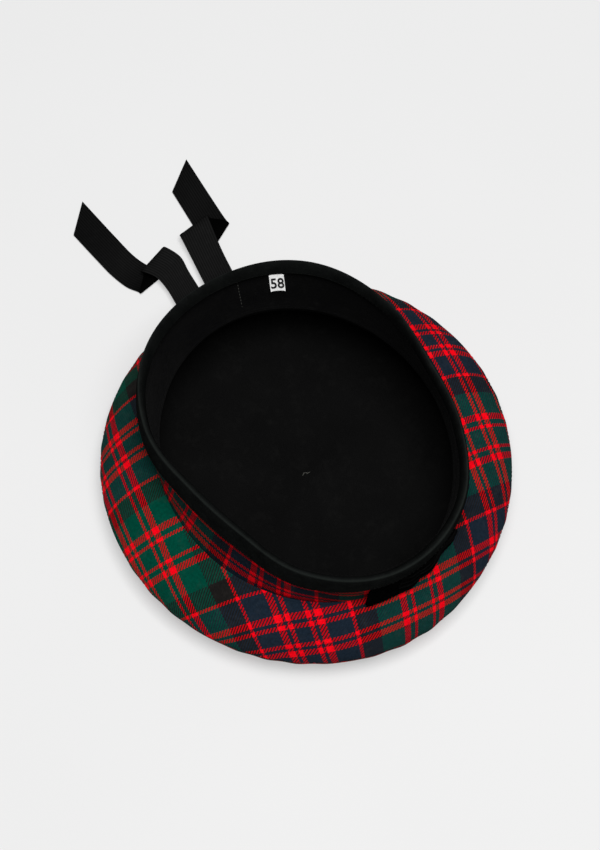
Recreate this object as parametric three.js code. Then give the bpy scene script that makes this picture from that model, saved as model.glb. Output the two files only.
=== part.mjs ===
// A balmoral bonnet lying on its crown, opening upwards, built from hollow cloth walls.
// Units are millimetres. The origin is the middle of the crown on the surface, +Z is up,
// +Y points to the back of the bonnet, where the ribbon tails leave, and +X to its wearer's right.
import * as THREE from 'three';

// ---- Driving dimensions -----------------------------------------------------------------

const CROWN_RADIUS = 120.8;      // half the width of the flat crown
const EDGE_HEIGHT = 19;          // height of the seam round the widest part of the crown
const BASE_HEIGHT = 44;          // where the band meets the underside of the crown
const WAIST_HEIGHT = 64;         // lower edge of the binding on the outside
const RIM_HEIGHT = 82;           // top of the folded rim
const BASE_HALF_WIDTH = 85.3;    // the band's base is an ellipse, side to side
const BASE_HALF_LENGTH = 97;     // and front to back

const CROWN_WALL = 1.6;          // wool cloth of crown and band
const TRIM_WALL = 1.2;           // binding and sweatband
const LINING_WALL = 1.0;
const RIBBON_WALL = 1.0;
const GAP = 0.3;                 // clear space between neighbouring pieces

const LEAF_HEIGHT = 75;          // lower edge of the binding on the inside
const BAND_LEVELS = [51, 57.5, WAIST_HEIGHT, 71, 78.4]; // the walls end inside the binding's fold
const SWEATBAND_FOOT = 44.5;
const STATIONS = 60;             // steps round the bonnet

// ---- Short tables -----------------------------------------------------------------------

// Outer face of the band's cloth, every 30 degrees from the wearer's right towards the back:
// the soft band flares at the back and front and falls in at the wearer's left.
const BAND_SHAPE = [
  { angle: 0, waist: 83.2, rim: 82.0 },
  { angle: 30, waist: 90.0, rim: 92.0 },
  { angle: 60, waist: 99.0, rim: 104.2 },
  { angle: 90, waist: 103.0, rim: 107.9 },
  { angle: 120, waist: 101.0, rim: 105.8 },
  { angle: 150, waist: 92.5, rim: 93.0 },
  { angle: 180, waist: 77.8, rim: 76.5 },
  { angle: 210, waist: 76.6, rim: 75.7 },
  { angle: 240, waist: 89.8, rim: 90.2 },
  { angle: 270, waist: 98.8, rim: 102.0 },
  { angle: 300, waist: 97.4, rim: 100.1 },
  { angle: 330, waist: 87.6, rim: 88.3 },
];

// Underside of the crown: share of the way out from the band to the edge, and of the way down.
const UNDERSIDE_PROFILE = [
  { out: 0.0, down: 0.0 },
  { out: 0.25, down: 0.1 },
  { out: 0.5, down: 0.26 },
  { out: 0.72, down: 0.47 },
  { out: 0.88, down: 0.7 },
  { out: 0.97, down: 0.88 },
  { out: 1.0, down: 1.0 },
];

// Top of the crown, from its flat middle to the seam at its edge.
const CROWN_PROFILE = [
  { radius: 0, height: 0 },
  { radius: 94, height: 0 },
  { radius: 104, height: 1.2 },
  { radius: 112, height: 4.6 },
  { radius: 117.4, height: 9.6 },
  { radius: 120.2, height: 14.8 },
  { radius: CROWN_RADIUS, height: EDGE_HEIGHT - GAP / 2 },
];

// Lining bag: blend 0 follows the band's base, blend 1 is round with the stated radius.
const LINING_PROFILE = [
  { blend: 1, radius: 0, height: 2.1 },
  { blend: 1, radius: 88, height: 2.6 },
  { blend: 1, radius: 99, height: 5.4 },
  { blend: 1, radius: 106, height: 12 },
  { blend: 1, radius: 108.5, height: 21 },
  { blend: 1, radius: 106.5, height: 29 },
  { blend: 0.75, radius: 107, height: 34.8 },
  { blend: 0.4, radius: 107, height: 39.0 },
  { blend: 0, radius: 107, height: 41.9 },
  { blend: 0, radius: 107, height: 44.0 },
];

// Folded binding, as inward distance from the band's outer face.
const BINDING_FOLD = [
  { inward: -1.5, height: WAIST_HEIGHT },
  { inward: -1.5, height: 71 },
  { inward: -1.5, height: 78 },
  { inward: -0.9, height: 80.6 },
  { inward: 0.6, height: RIM_HEIGHT },
  { inward: 2.5, height: RIM_HEIGHT },
  { inward: 4.0, height: 80.6 },
  { inward: 4.6, height: 78 },
  { inward: 4.6, height: LEAF_HEIGHT },
];

// Cockade of black ribbon on the outside of the band: one row for each level of a piece.
const COCKADE_TAIL = [
  { height: 45.4, lift: 2.4, from: 261.6, to: 283 },
  { height: 50, lift: 1.4, from: 260.4, to: 284 },
  { height: 56, lift: 0.7, from: 262.6, to: 284 },
  { height: 60, lift: 0.5, from: 263.6, to: 284 },
  { height: 63.4, lift: 0.3, from: 262.0, to: 283 },
];
const COCKADE_LOOPS = [
  { height: 46.6, lift: 4.4, from: 278, to: 293 },
  { height: 50, lift: 3.4, from: 277, to: 296 },
  { height: 55, lift: 2.4, from: 276.5, to: 297.5 },
  { height: 60, lift: 1.9, from: 277, to: 296.5 },
  { height: 63.4, lift: 1.7, from: 278, to: 294 },
];
const COCKADE_KNOT = [
  { height: 49.4, lift: 5.6, from: 274.6, to: 280.6 },
  { height: 56, lift: 4.6, from: 274, to: 281 },
  { height: 62.6, lift: 3.6, from: 274.6, to: 280.6 },
];

// Ribbon tails: one row for each section, with its two edges and the height of its middle.
// Each leaves the band's back, falls over the crown's edge, lies folded back under itself
// once and forward again, and ends in a slanted cut.
const TAIL_LEFT = [
  { leftX: -15.6, leftY: 103, rightX: 3.4, rightY: 103.8, height: 62 },
  { leftX: -15.6, leftY: 101, rightX: 3.4, rightY: 101.8, height: 56 },
  { leftX: -15.6, leftY: 99.3, rightX: 3.4, rightY: 100.1, height: 50.5 },
  { leftX: -15.6, leftY: 98.8, rightX: 3.4, rightY: 99.6, height: 46.8 },
  { leftX: -15.6, leftY: 101, rightX: 3.4, rightY: 101.8, height: 44.4 },
  { leftX: -15.5, leftY: 106, rightX: 3.5, rightY: 106.8, height: 40 },
  { leftX: -15.4, leftY: 112, rightX: 3.6, rightY: 112.8, height: 35 },
  { leftX: -15.2, leftY: 117, rightX: 3.9, rightY: 117.8, height: 28.8 },
  { leftX: -15, leftY: 121.9, rightX: 4.2, rightY: 122.7, height: 20 },
  { leftX: -14.6, leftY: 127.5, rightX: 4.6, rightY: 128.5, height: 11 },
  { leftX: -13.6, leftY: 138, rightX: 5.8, rightY: 141.5, height: 5.8 },
  { leftX: -13, leftY: 150, rightX: 6.6, rightY: 154.5, height: 4.4 },
  { leftX: -14.1, leftY: 160.1, rightX: 6.2, rightY: 165.5, height: 4.1 },
  { leftX: -19, leftY: 167.6, rightX: 1.2, rightY: 175.6, height: 4 },
  { leftX: -20, leftY: 169.2, rightX: 0.2, rightY: 177.2, height: 3.2 },
  { leftX: -19.4, leftY: 168, rightX: 0.6, rightY: 175.8, height: 2.4 },
  { leftX: -26.8, leftY: 158.6, rightX: -6.6, rightY: 163.2, height: 2.1 },
  { leftX: -27.4, leftY: 157.2, rightX: -7.1, rightY: 161.8, height: 1.3 },
  { leftX: -27.9, leftY: 158.8, rightX: -8, rightY: 163.4, height: 0.5 },
  { leftX: -32.6, leftY: 165.4, rightX: -14.8, rightY: 173.4, height: 0.5 },
  { leftX: -36.8, leftY: 177, rightX: -18.6, rightY: 182.8, height: 0.5 },
  { leftX: -40, leftY: 192, rightX: -21.6, rightY: 196.8, height: 0.5 },
  { leftX: -44.2, leftY: 214, rightX: -28.2, rightY: 232.4, height: 0.5 },
];
const TAIL_RIGHT = [
  { leftX: 4.6, leftY: 103.7, rightX: 23.4, rightY: 100.3, height: 62 },
  { leftX: 4.6, leftY: 101.8, rightX: 23.4, rightY: 98.4, height: 56 },
  { leftX: 4.6, leftY: 100.1, rightX: 23.4, rightY: 96.8, height: 50.5 },
  { leftX: 4.6, leftY: 99.7, rightX: 23.4, rightY: 96.5, height: 46.8 },
  { leftX: 4.7, leftY: 101.8, rightX: 23.5, rightY: 99, height: 44.2 },
  { leftX: 4.9, leftY: 106.8, rightX: 23.8, rightY: 104.2, height: 39.7 },
  { leftX: 5.2, leftY: 112.6, rightX: 24.1, rightY: 110.2, height: 34.8 },
  { leftX: 5.6, leftY: 117.8, rightX: 24.5, rightY: 115.2, height: 28.7 },
  { leftX: 6.1, leftY: 122.8, rightX: 25, rightY: 120, height: 20 },
  { leftX: 6.7, leftY: 129, rightX: 25.7, rightY: 127, height: 11 },
  { leftX: 8.4, leftY: 143.8, rightX: 27.4, rightY: 140.6, height: 5.6 },
  { leftX: 10.2, leftY: 160, rightX: 29.4, rightY: 157.6, height: 4.3 },
  { leftX: 12.3, leftY: 177.4, rightX: 33.8, rightY: 181.2, height: 4 },
  { leftX: 12.6, leftY: 179.2, rightX: 34.4, rightY: 183.2, height: 3.2 },
  { leftX: 13.4, leftY: 177.8, rightX: 35.2, rightY: 181.8, height: 2.4 },
  { leftX: 23, leftY: 161.4, rightX: 42.8, rightY: 175.4, height: 2.1 },
  { leftX: 23.5, leftY: 160.1, rightX: 43.4, rightY: 174, height: 1.3 },
  { leftX: 23.5, leftY: 162, rightX: 43.4, rightY: 175.8, height: 0.5 },
  { leftX: 23.8, leftY: 186, rightX: 43.2, rightY: 195, height: 0.5 },
  { leftX: 24, leftY: 210.2, rightX: 43.1, rightY: 226.3, height: 0.5 },
];

// Size label on the inside of the band, at the back.
const LABEL = { angle: 70.0, width: 9, foot: 59.6, top: 74.4, turn: 1.5 };

// ---- Shape of the band ------------------------------------------------------------------

const radians = (degrees) => THREE.MathUtils.degToRad(degrees);
const onCircle = (radius, angle, height) =>
  new THREE.Vector3(radius * Math.cos(radians(angle)), radius * Math.sin(radians(angle)), height);

// A smooth closed curve through one column of the band's table.
function aroundBand(column, angle) {
  const step = 360 / BAND_SHAPE.length;
  const place = (((angle % 360) + 360) % 360) / step;
  const first = Math.floor(place);
  const t = place - first;
  const row = (k) => BAND_SHAPE[(first + k + BAND_SHAPE.length) % BAND_SHAPE.length][column];
  const slopeIn = (row(1) - row(-1)) / 2;
  const slopeOut = (row(2) - row(0)) / 2;
  const rise = row(1) - row(0);
  return row(0) + t * (slopeIn + t * (3 * rise - 2 * slopeIn - slopeOut + t * (slopeIn + slopeOut - 2 * rise)));
}

function baseRadius(angle) {
  const across = BASE_HALF_LENGTH * Math.cos(radians(angle));
  const along = BASE_HALF_WIDTH * Math.sin(radians(angle));
  return (BASE_HALF_WIDTH * BASE_HALF_LENGTH) / Math.hypot(across, along);
}

// Radius of the band's outer face at an angle and a height, through base, waist and rim.
function bandRadius(angle, height) {
  const levels = [BASE_HEIGHT, WAIST_HEIGHT, RIM_HEIGHT];
  const radii = [baseRadius(angle), aroundBand('waist', angle), aroundBand('rim', angle)];
  let radius = 0;
  levels.forEach((level, i) => {
    const others = levels.filter((_, j) => j !== i);
    const weight = others.reduce((product, other) => product * ((height - other) / (level - other)), 1);
    radius += radii[i] * weight;
  });
  return radius;
}

// ---- Closed meshes from sections --------------------------------------------------------

// Moves a path in the (radius, height) plane sideways by a wall thickness, to its left.
function offsetPath(path, distance) {
  return path.map((point, i) => {
    const before = path[Math.max(i - 1, 0)];
    const after = path[Math.min(i + 1, path.length - 1)];
    const arriving = new THREE.Vector2().subVectors(point, before);
    const leaving = new THREE.Vector2().subVectors(after, point);
    const tangent = arriving.normalize().add(leaving.normalize()).normalize();
    const normal = new THREE.Vector2(-tangent.y, tangent.x);
    return point.clone().addScaledVector(normal, distance);
  });
}

function meshGeometry(points, triangles) {
  const geometry = new THREE.BufferGeometry();
  geometry.setAttribute('position', new THREE.Float32BufferAttribute(points.flatMap((p) => p.toArray()), 3));
  geometry.setIndex(triangles.flat());
  geometry.computeVertexNormals();
  return geometry;
}

// Sweeps a section round the bonnet. A section is a list of (radius, height) points, listed
// anticlockwise. It is a closed ring, or a path that starts and ends on the axis. Each quad is
// split along its shorter diagonal, so that neighbouring layers bend the same way.
function sweepAround(sectionAt, onAxis = false) {
  const points = [];
  const triangles = [];
  const sections = [];
  for (let k = 0; k < STATIONS; k += 1) {
    const angle = (360 * k) / STATIONS;
    const section = sectionAt(angle);
    sections.push(section.map(({ x, y }, i) => {
      const shared = onAxis && k > 0 && (i === 0 || i === section.length - 1);
      if (shared) return sections[0][i];
      points.push(onCircle(x, angle, y));
      return points.length - 1;
    }));
  }
  const length = sections[0].length;
  const last = onAxis ? length - 1 : length;
  for (let k = 0; k < STATIONS; k += 1) {
    const here = sections[k];
    const next = sections[(k + 1) % STATIONS];
    for (let i = 0; i < last; i += 1) {
      const j = (i + 1) % length;
      const rising = points[here[i]].distanceTo(points[next[j]]);
      const falling = points[next[i]].distanceTo(points[here[j]]);
      const halves = rising < falling
        ? [[here[i], next[i], next[j]], [here[i], next[j], here[j]]]
        : [[here[i], next[i], here[j]], [next[i], next[j], here[j]]];
      triangles.push(...halves.filter((corners) => new Set(corners).size === 3));
    }
  }
  return meshGeometry(points, triangles);
}

// Joins two matching grids of points, the upper and the lower face of a sheet, at their edges.
function closedSheet(upper, lower) {
  const rows = upper.length;
  const columns = upper[0].length;
  const points = [...upper.flat(), ...lower.flat()];
  const top = (r, c) => r * columns + c;
  const bottom = (r, c) => rows * columns + r * columns + c;
  const triangles = [];
  const quad = (a, b, c, d) => triangles.push([a, b, c], [a, c, d]);
  for (let r = 0; r < rows - 1; r += 1) {
    for (let c = 0; c < columns - 1; c += 1) {
      quad(top(r, c), top(r, c + 1), top(r + 1, c + 1), top(r + 1, c));
      quad(bottom(r, c), bottom(r + 1, c), bottom(r + 1, c + 1), bottom(r, c + 1));
    }
    quad(top(r, 0), top(r + 1, 0), bottom(r + 1, 0), bottom(r, 0));
    quad(top(r + 1, columns - 1), top(r, columns - 1), bottom(r, columns - 1), bottom(r + 1, columns - 1));
  }
  for (let c = 0; c < columns - 1; c += 1) {
    quad(top(0, c + 1), top(0, c), bottom(0, c), bottom(0, c + 1));
    quad(top(rows - 1, c), top(rows - 1, c + 1), bottom(rows - 1, c + 1), bottom(rows - 1, c));
  }
  return meshGeometry(points, triangles);
}

// ---- Crown ------------------------------------------------------------------------------

function crownTop() {
  const outer = CROWN_PROFILE.map(({ radius, height }) => new THREE.Vector2(radius, height));
  const inner = offsetPath(outer, CROWN_WALL);
  inner[0].x = 0;
  inner[inner.length - 1].y = outer[outer.length - 1].y;
  const turned = new THREE.LatheGeometry([...outer, ...inner.reverse()], STATIONS);
  return turned.rotateX(Math.PI / 2);
}

function crownUnderside() {
  return sweepAround((angle) => {
    const base = baseRadius(angle) - CROWN_WALL;
    const drop = BASE_HEIGHT - EDGE_HEIGHT - GAP / 2;
    const outer = UNDERSIDE_PROFILE.map(({ out, down }) =>
      new THREE.Vector2(base + out * (CROWN_RADIUS - base), BASE_HEIGHT - down * drop));
    const inner = offsetPath(outer, -CROWN_WALL);
    inner[0].x = outer[0].x;
    inner[inner.length - 1].y = outer[outer.length - 1].y;
    return [...outer.reverse(), ...inner];
  });
}

// ---- Band -------------------------------------------------------------------------------

// A wall that follows the band from its foot up, from one inward depth to another.
function bandWall(foot, outerDepth, innerDepth) {
  const heights = [foot, ...BAND_LEVELS];
  return sweepAround((angle) => {
    const face = (depth) => heights.map((h) => new THREE.Vector2(bandRadius(angle, h) - depth, h));
    return [...face(outerDepth), ...face(innerDepth).reverse()];
  });
}

const SWEATBAND_DEPTH = CROWN_WALL + GAP;

function headband() {
  return bandWall(BASE_HEIGHT + GAP, 0, CROWN_WALL);
}

function sweatband() {
  return bandWall(SWEATBAND_FOOT, SWEATBAND_DEPTH, SWEATBAND_DEPTH + TRIM_WALL);
}

function rimBinding() {
  return sweepAround((angle) => {
    const outer = BINDING_FOLD.map(({ inward, height }) =>
      new THREE.Vector2(bandRadius(angle, height) - inward, height));
    const inner = offsetPath(outer, TRIM_WALL);
    inner[0].y = outer[0].y;
    inner[inner.length - 1].y = outer[outer.length - 1].y;
    return [...outer, ...inner.reverse()];
  });
}

function lining() {
  return sweepAround((angle) => {
    const neck = baseRadius(angle) - CROWN_WALL - 0.5;
    const outer = LINING_PROFILE.map(({ blend, radius, height }) =>
      new THREE.Vector2(THREE.MathUtils.lerp(neck, radius, blend), height));
    const inner = offsetPath(outer, LINING_WALL);
    inner[0].x = 0;
    inner[inner.length - 1].y = outer[outer.length - 1].y;
    return [...outer, ...inner.reverse()];
  }, true);
}

function sizeLabel() {
  const depth = SWEATBAND_DEPTH + TRIM_WALL + GAP;
  const reach = THREE.MathUtils.radToDeg(LABEL.width / 2 / bandRadius(LABEL.angle, LABEL.foot));
  const grid = (inward) => [LABEL.foot, LABEL.top].map((height, row) =>
    [reach, 0, -reach].map((offset) => {
      const angle = LABEL.angle + offset + (row - 0.5) * LABEL.turn;
      return onCircle(bandRadius(angle, height) - inward, angle, height);
    }));
  return closedSheet(grid(depth + LINING_WALL), grid(depth));
}

// ---- Trims ------------------------------------------------------------------------------

// A piece of ribbon laid on the outside of the band, bowed outwards along its middle.
function bandPatch(rows, bow, columns = 8) {
  const grid = (thickness) => rows.map(({ height, lift, from, to }) =>
    Array.from({ length: columns }, (_, c) => {
      const along = c / (columns - 1);
      const angle = THREE.MathUtils.lerp(from, to, along);
      const radius = bandRadius(angle, height) + lift + bow * Math.sin(Math.PI * along) + thickness;
      return onCircle(radius, angle, height);
    }));
  return closedSheet(grid(RIBBON_WALL), grid(0));
}

// A flat ribbon through its table of sections, with half its thickness on each side.
function ribbon(rows) {
  const left = rows.map((r) => new THREE.Vector3(r.leftX, r.leftY, r.height));
  const right = rows.map((r) => new THREE.Vector3(r.rightX, r.rightY, r.height));
  const middle = left.map((p, i) => p.clone().lerp(right[i], 0.5));
  const normals = middle.map((_, i) => {
    const before = middle[Math.max(i - 1, 0)];
    const after = middle[Math.min(i + 1, middle.length - 1)];
    const width = new THREE.Vector3().subVectors(right[i], left[i]);
    return new THREE.Vector3().subVectors(after, before).cross(width).normalize().negate();
  });
  const face = (side) => rows.map((_, i) =>
    [left[i], right[i]].map((p) => p.clone().addScaledVector(normals[i], (side * RIBBON_WALL) / 2)));
  return closedSheet(face(1), face(-1));
}

// ---- Assembly ---------------------------------------------------------------------------

const FINISHES = {
  tartan: { color: 0x48302f, roughness: 0.92 },
  blackWool: { color: 0x101211, roughness: 0.9 },
  sweatband: { color: 0x151515, roughness: 0.45 },
  lining: { color: 0x111111, roughness: 0.75 },
  grosgrain: { color: 0x141414, roughness: 0.8 },
  label: { color: 0xe9e9e7, roughness: 0.7 },
};

const bonnet = new THREE.Group();

function addPiece(name, geometry, finish) {
  const material = new THREE.MeshStandardMaterial({ ...FINISHES[finish], metalness: 0 });
  const mesh = new THREE.Mesh(geometry, material);
  mesh.name = name;
  bonnet.add(mesh);
}

addPiece('crown_top', crownTop(), 'tartan');
addPiece('crown_underside', crownUnderside(), 'tartan');
addPiece('headband', headband(), 'tartan');
addPiece('rim_binding', rimBinding(), 'blackWool');
addPiece('sweatband', sweatband(), 'sweatband');
addPiece('lining', lining(), 'lining');
addPiece('size_label', sizeLabel(), 'label');
addPiece('cockade_tail', bandPatch(COCKADE_TAIL, 0), 'grosgrain');
addPiece('cockade_loops', bandPatch(COCKADE_LOOPS, 1.6), 'grosgrain');
addPiece('cockade_knot', bandPatch(COCKADE_KNOT, 0.8, 5), 'grosgrain');
addPiece('ribbon_tail_left', ribbon(TAIL_LEFT), 'grosgrain');
addPiece('ribbon_tail_right', ribbon(TAIL_RIGHT), 'grosgrain');

export default bonnet;
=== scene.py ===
import logging
import math
from dataclasses import dataclass, field
from enum import Enum

import bpy
import numpy as np
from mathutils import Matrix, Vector


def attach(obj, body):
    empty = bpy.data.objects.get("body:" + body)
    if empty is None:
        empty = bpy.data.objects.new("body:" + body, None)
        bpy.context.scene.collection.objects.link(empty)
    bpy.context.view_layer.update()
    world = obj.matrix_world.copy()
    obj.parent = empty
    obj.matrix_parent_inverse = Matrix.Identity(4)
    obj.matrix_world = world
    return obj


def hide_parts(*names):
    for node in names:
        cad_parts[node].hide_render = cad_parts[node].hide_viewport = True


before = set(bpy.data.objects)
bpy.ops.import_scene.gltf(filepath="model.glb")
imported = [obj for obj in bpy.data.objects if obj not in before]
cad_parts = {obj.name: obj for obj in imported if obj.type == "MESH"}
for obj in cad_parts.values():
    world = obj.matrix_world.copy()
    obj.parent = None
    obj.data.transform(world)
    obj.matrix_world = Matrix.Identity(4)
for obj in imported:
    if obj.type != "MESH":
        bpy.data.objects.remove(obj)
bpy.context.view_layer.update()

LOG = logging.getLogger("balmoral_bonnet")

METRES = 0.001          # every size below is in millimetres and becomes metres in a mesh
TAU = 2.0 * math.pi
TINY = 1e-9             # keeps a length that divides above zero
BODY = "root"
CLOTH_MAP = "cloth"     # UV map that holds a piece's cloth coordinates, in metres
HALF_REPEAT = 64.3      # width of the tartan from its green pivot to its blue pivot
CURVE_STEPS = 5         # stretches that each gap of a profile is cut into

Node = bpy.types.Node
Socket = bpy.types.NodeSocket
Tree = bpy.types.NodeTree
Material = bpy.types.Material
Piece = bpy.types.Object
Row = tuple[np.ndarray, np.ndarray]     # numbers of a row's points and of its cloth coordinates
Table = tuple[tuple[float, ...], ...]
Place = tuple[float, float, float]
Colour = tuple[float, float, float, float]


class Slot(Enum):
    """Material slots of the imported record."""

    TARTAN = "tartan"
    BLACK_WOOL = "black_wool"
    SWEATBAND = "sweatband"
    LINING = "lining"
    GROSGRAIN = "grosgrain"
    LABEL = "label"


# ---- Paths and meshes -------------------------------------------------------------------


def smooth_path(rows: Table, steps: int = CURVE_STEPS) -> np.ndarray:
    """Rounds a table of points into a finer curve that passes through them all.

    Args:
        rows: Points, one a row, of any number of columns.
        steps: How many stretches each gap is cut into.

    Returns:
        The finer curve, one point a row.
    """
    points = np.asarray(rows, float)
    ends = np.vstack([2 * points[0] - points[1], points, 2 * points[-1] - points[-2]])
    curve = []
    for i in range(1, len(ends) - 2):
        four = ends[i - 1:i + 3]
        gaps = np.maximum(np.sqrt(np.linalg.norm(np.diff(four, axis=0), axis=1)), 1e-6)
        t0, t1, t2, t3 = np.concatenate([[0.0], np.cumsum(gaps)])
        for t in np.linspace(t1, t2, steps, endpoint=False):
            a = four[0] + (four[1] - four[0]) * (t - t0) / (t1 - t0)
            b = four[1] + (four[2] - four[1]) * (t - t1) / (t2 - t1)
            c = four[2] + (four[3] - four[2]) * (t - t2) / (t3 - t2)
            d = a + (b - a) * (t - t0) / (t2 - t0)
            e = b + (c - b) * (t - t1) / (t3 - t1)
            curve.append(d + (e - d) * (t - t1) / (t2 - t1))
    curve.append(points[-1])
    return np.array(curve)


def run_length(points: np.ndarray) -> np.ndarray:
    """Gives the distance run along a path to each of its points, down the first axis."""
    steps = np.linalg.norm(np.diff(points, axis=0), axis=-1)
    return np.concatenate([np.zeros((1,) + steps.shape[1:]), np.cumsum(steps, axis=0)])


def around_axis(radius: np.ndarray, degrees: np.ndarray, height: np.ndarray) -> np.ndarray:
    """Turns radius, angle and height into points.

    Args:
        radius: Distance from the bonnet's axis.
        degrees: Angle from the wearer's right towards the back.
        height: Height above the floor.

    Returns:
        The points, with x, y and z along the last axis.
    """
    radius, degrees, height = np.broadcast_arrays(radius, degrees, height)
    angle = np.radians(degrees)
    return np.stack([radius * np.cos(angle), radius * np.sin(angle), height], axis=-1)


def ripples(waves: Table, angle: np.ndarray) -> np.ndarray:
    """Adds up waves that run round the bonnet, from rows of height, count and phase."""
    return sum(height * np.sin(count * angle + phase) for height, count, phase in waves)


def flat_cloth(reach: np.ndarray, degrees: np.ndarray, turn: float = 0.0,
               shift: tuple[float, float] = (0.0, 0.0)) -> np.ndarray:
    """Gives the cloth coordinates of a flat round cut.

    Args:
        reach: Distance from the cut's middle, by row and station.
        degrees: Angles of the stations.
        turn: Degrees that the cloth is turned on the bonnet.
        shift: Where the cut's middle lies on the cloth.

    Returns:
        The coordinates, with one station more to close the ring.
    """
    around = np.radians(np.append(degrees, 360.0) + turn)[None, :]
    reach = np.hstack([reach, reach[:, :1]])
    return np.stack([reach * np.cos(around) + shift[0], reach * np.sin(around) + shift[1]], axis=-1)


def new_object(name: str, data: bpy.types.ID) -> Piece:
    """Puts a mesh, curve, lamp or camera into the scene as an object.

    Args:
        name: Name of the object.
        data: What it shows.

    Returns:
        The object.
    """
    made = bpy.data.objects.new(name, data)
    bpy.context.scene.collection.objects.link(made)
    return made


def plain_mesh(holder: Piece, name: str) -> bpy.types.Mesh:
    """Turns a text or an object with a live modifier into a plain mesh.

    Args:
        holder: The object.
        name: Name of the mesh.

    Returns:
        The mesh.
    """
    bpy.context.view_layer.update()
    evaluated = holder.evaluated_get(bpy.context.evaluated_depsgraph_get())
    mesh = bpy.data.meshes.new_from_object(evaluated)
    mesh.name = name
    return mesh


def enclosed(points: np.ndarray, faces: list[tuple[int, ...]]) -> float:
    """Measures the volume inside a mesh.

    Args:
        points: The mesh's points.
        faces: Its faces as point numbers.

    Returns:
        The volume, negative where the faces point inwards.
    """
    total = 0.0
    for face in faces:
        p = points[list(face)]
        for k in range(1, len(face) - 1):
            total += float(np.dot(p[0], np.cross(p[k], p[k + 1])))
    return total / 6.0


class ClothMesh:
    """Collects grids of points with their cloth coordinates and makes one closed mesh."""

    def __init__(self) -> None:
        """Starts with no points and no faces."""
        self.points: list[np.ndarray] = []
        self.cloth: list[np.ndarray] = []
        self.faces: list[tuple[int, ...]] = []
        self.corners: list[tuple[int, ...]] = []
        self.point_count = 0
        self.cloth_count = 0

    def grid(self, points: np.ndarray, cloth: np.ndarray, wrap: bool = False) -> Row:
        """Adds a grid of faces.

        Args:
            points: Rows and columns of points.
            cloth: Rows and columns of cloth coordinates, with one column more where it wraps.
            wrap: Whether the last column joins the first.

        Returns:
            The numbers of its points and of its cloth coordinates, one column more where it wraps.
        """
        rows, columns = points.shape[:2]
        at = np.arange(rows * columns).reshape(rows, columns) + self.point_count
        laid = np.arange(cloth.shape[0] * cloth.shape[1]).reshape(cloth.shape[:2])
        laid = laid + self.cloth_count
        self.points.append(points.reshape(-1, 3))
        self.cloth.append(cloth.reshape(-1, 2))
        self.point_count += rows * columns
        self.cloth_count += laid.size
        if wrap:
            at = np.hstack([at, at[:, :1]])
        for r in range(rows - 1):
            self.bridge((at[r], laid[r]), (at[r + 1], laid[r + 1]))
        return at, laid

    def bridge(self, first: Row, second: Row) -> None:
        """Joins two rows with faces.

        Args:
            first: One row.
            second: The next row, of the same length.
        """
        (a, ca), (b, cb) = first, second
        for c in range(len(a) - 1):
            self.faces.append((a[c], a[c + 1], b[c + 1], b[c]))
            self.corners.append((ca[c], ca[c + 1], cb[c + 1], cb[c]))

    def pole(self, row: Row, point: Place, cloth: tuple[float, float], first: bool) -> None:
        """Closes a wrapped row with a fan of faces.

        Args:
            row: The row to close.
            point: The pole.
            cloth: The pole's cloth coordinates.
            first: Whether the pole comes before the row in the grid's order.
        """
        at, laid = row
        self.points.append(np.asarray(point, float).reshape(1, 3))
        self.cloth.append(np.asarray(cloth, float).reshape(1, 2))
        for c in range(len(at) - 1):
            pair = (at[c + 1], at[c]) if first else (at[c], at[c + 1])
            pair_cloth = (laid[c + 1], laid[c]) if first else (laid[c], laid[c + 1])
            self.faces.append((self.point_count,) + pair)
            self.corners.append((self.cloth_count,) + pair_cloth)
        self.point_count += 1
        self.cloth_count += 1

    def build(self, name: str, sharp: float = 60.0) -> Piece:
        """Makes the object, in metres, with its faces outwards.

        Args:
            name: Name of the piece.
            sharp: Angle in degrees past which an edge is drawn sharp.

        Returns:
            The new object, linked to the scene.
        """
        points = np.vstack(self.points) * METRES
        cloth = np.vstack(self.cloth) * METRES
        faces = self.faces
        corners = self.corners
        if enclosed(points, faces) < 0:
            faces = [face[::-1] for face in faces]
            corners = [corner[::-1] for corner in corners]
        mesh = bpy.data.meshes.new(name)
        mesh.from_pydata(points.tolist(), [], [tuple(int(i) for i in face) for face in faces])
        layer = mesh.uv_layers.new(name=CLOTH_MAP)
        flat = cloth[np.array([i for corner in corners for i in corner])]
        layer.data.foreach_set("uv", flat.ravel())
        mesh.shade_smooth()
        mesh.set_sharp_from_angle(angle=math.radians(sharp))
        mesh.validate()
        return new_object(name, mesh)


def thin_piece(name: str, front: np.ndarray, back: np.ndarray, cloth: np.ndarray) -> Piece:
    """Makes a thin piece from its two faces and closes its four edges.

    Args:
        name: Name of the piece.
        front: Rows and columns of points on its front.
        back: The same on its back.
        cloth: Cloth coordinates of both.

    Returns:
        The piece.
    """
    mesh = ClothMesh()
    front_at, front_laid = mesh.grid(front, cloth)
    back_at, back_laid = mesh.grid(back[::-1], cloth[::-1])
    back_at, back_laid = back_at[::-1], back_laid[::-1]
    for edge in (np.s_[0, ::-1], np.s_[-1, :], np.s_[:, 0], np.s_[::-1, -1]):
        mesh.bridge((back_at[edge], back_laid[edge]), (front_at[edge], front_laid[edge]))
    return mesh.build(name)


def mark_points(piece: Piece, name: str, values: np.ndarray) -> None:
    """Writes a number at each point of a thin piece, the same on its front and its back.

    Args:
        piece: The piece.
        name: Name of the attribute.
        values: Numbers by row and column.
    """
    layer = piece.data.attributes.new(name, "FLOAT", "POINT")
    layer.data.foreach_set("value", np.concatenate([values.ravel(), values[::-1].ravel()]))


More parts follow.
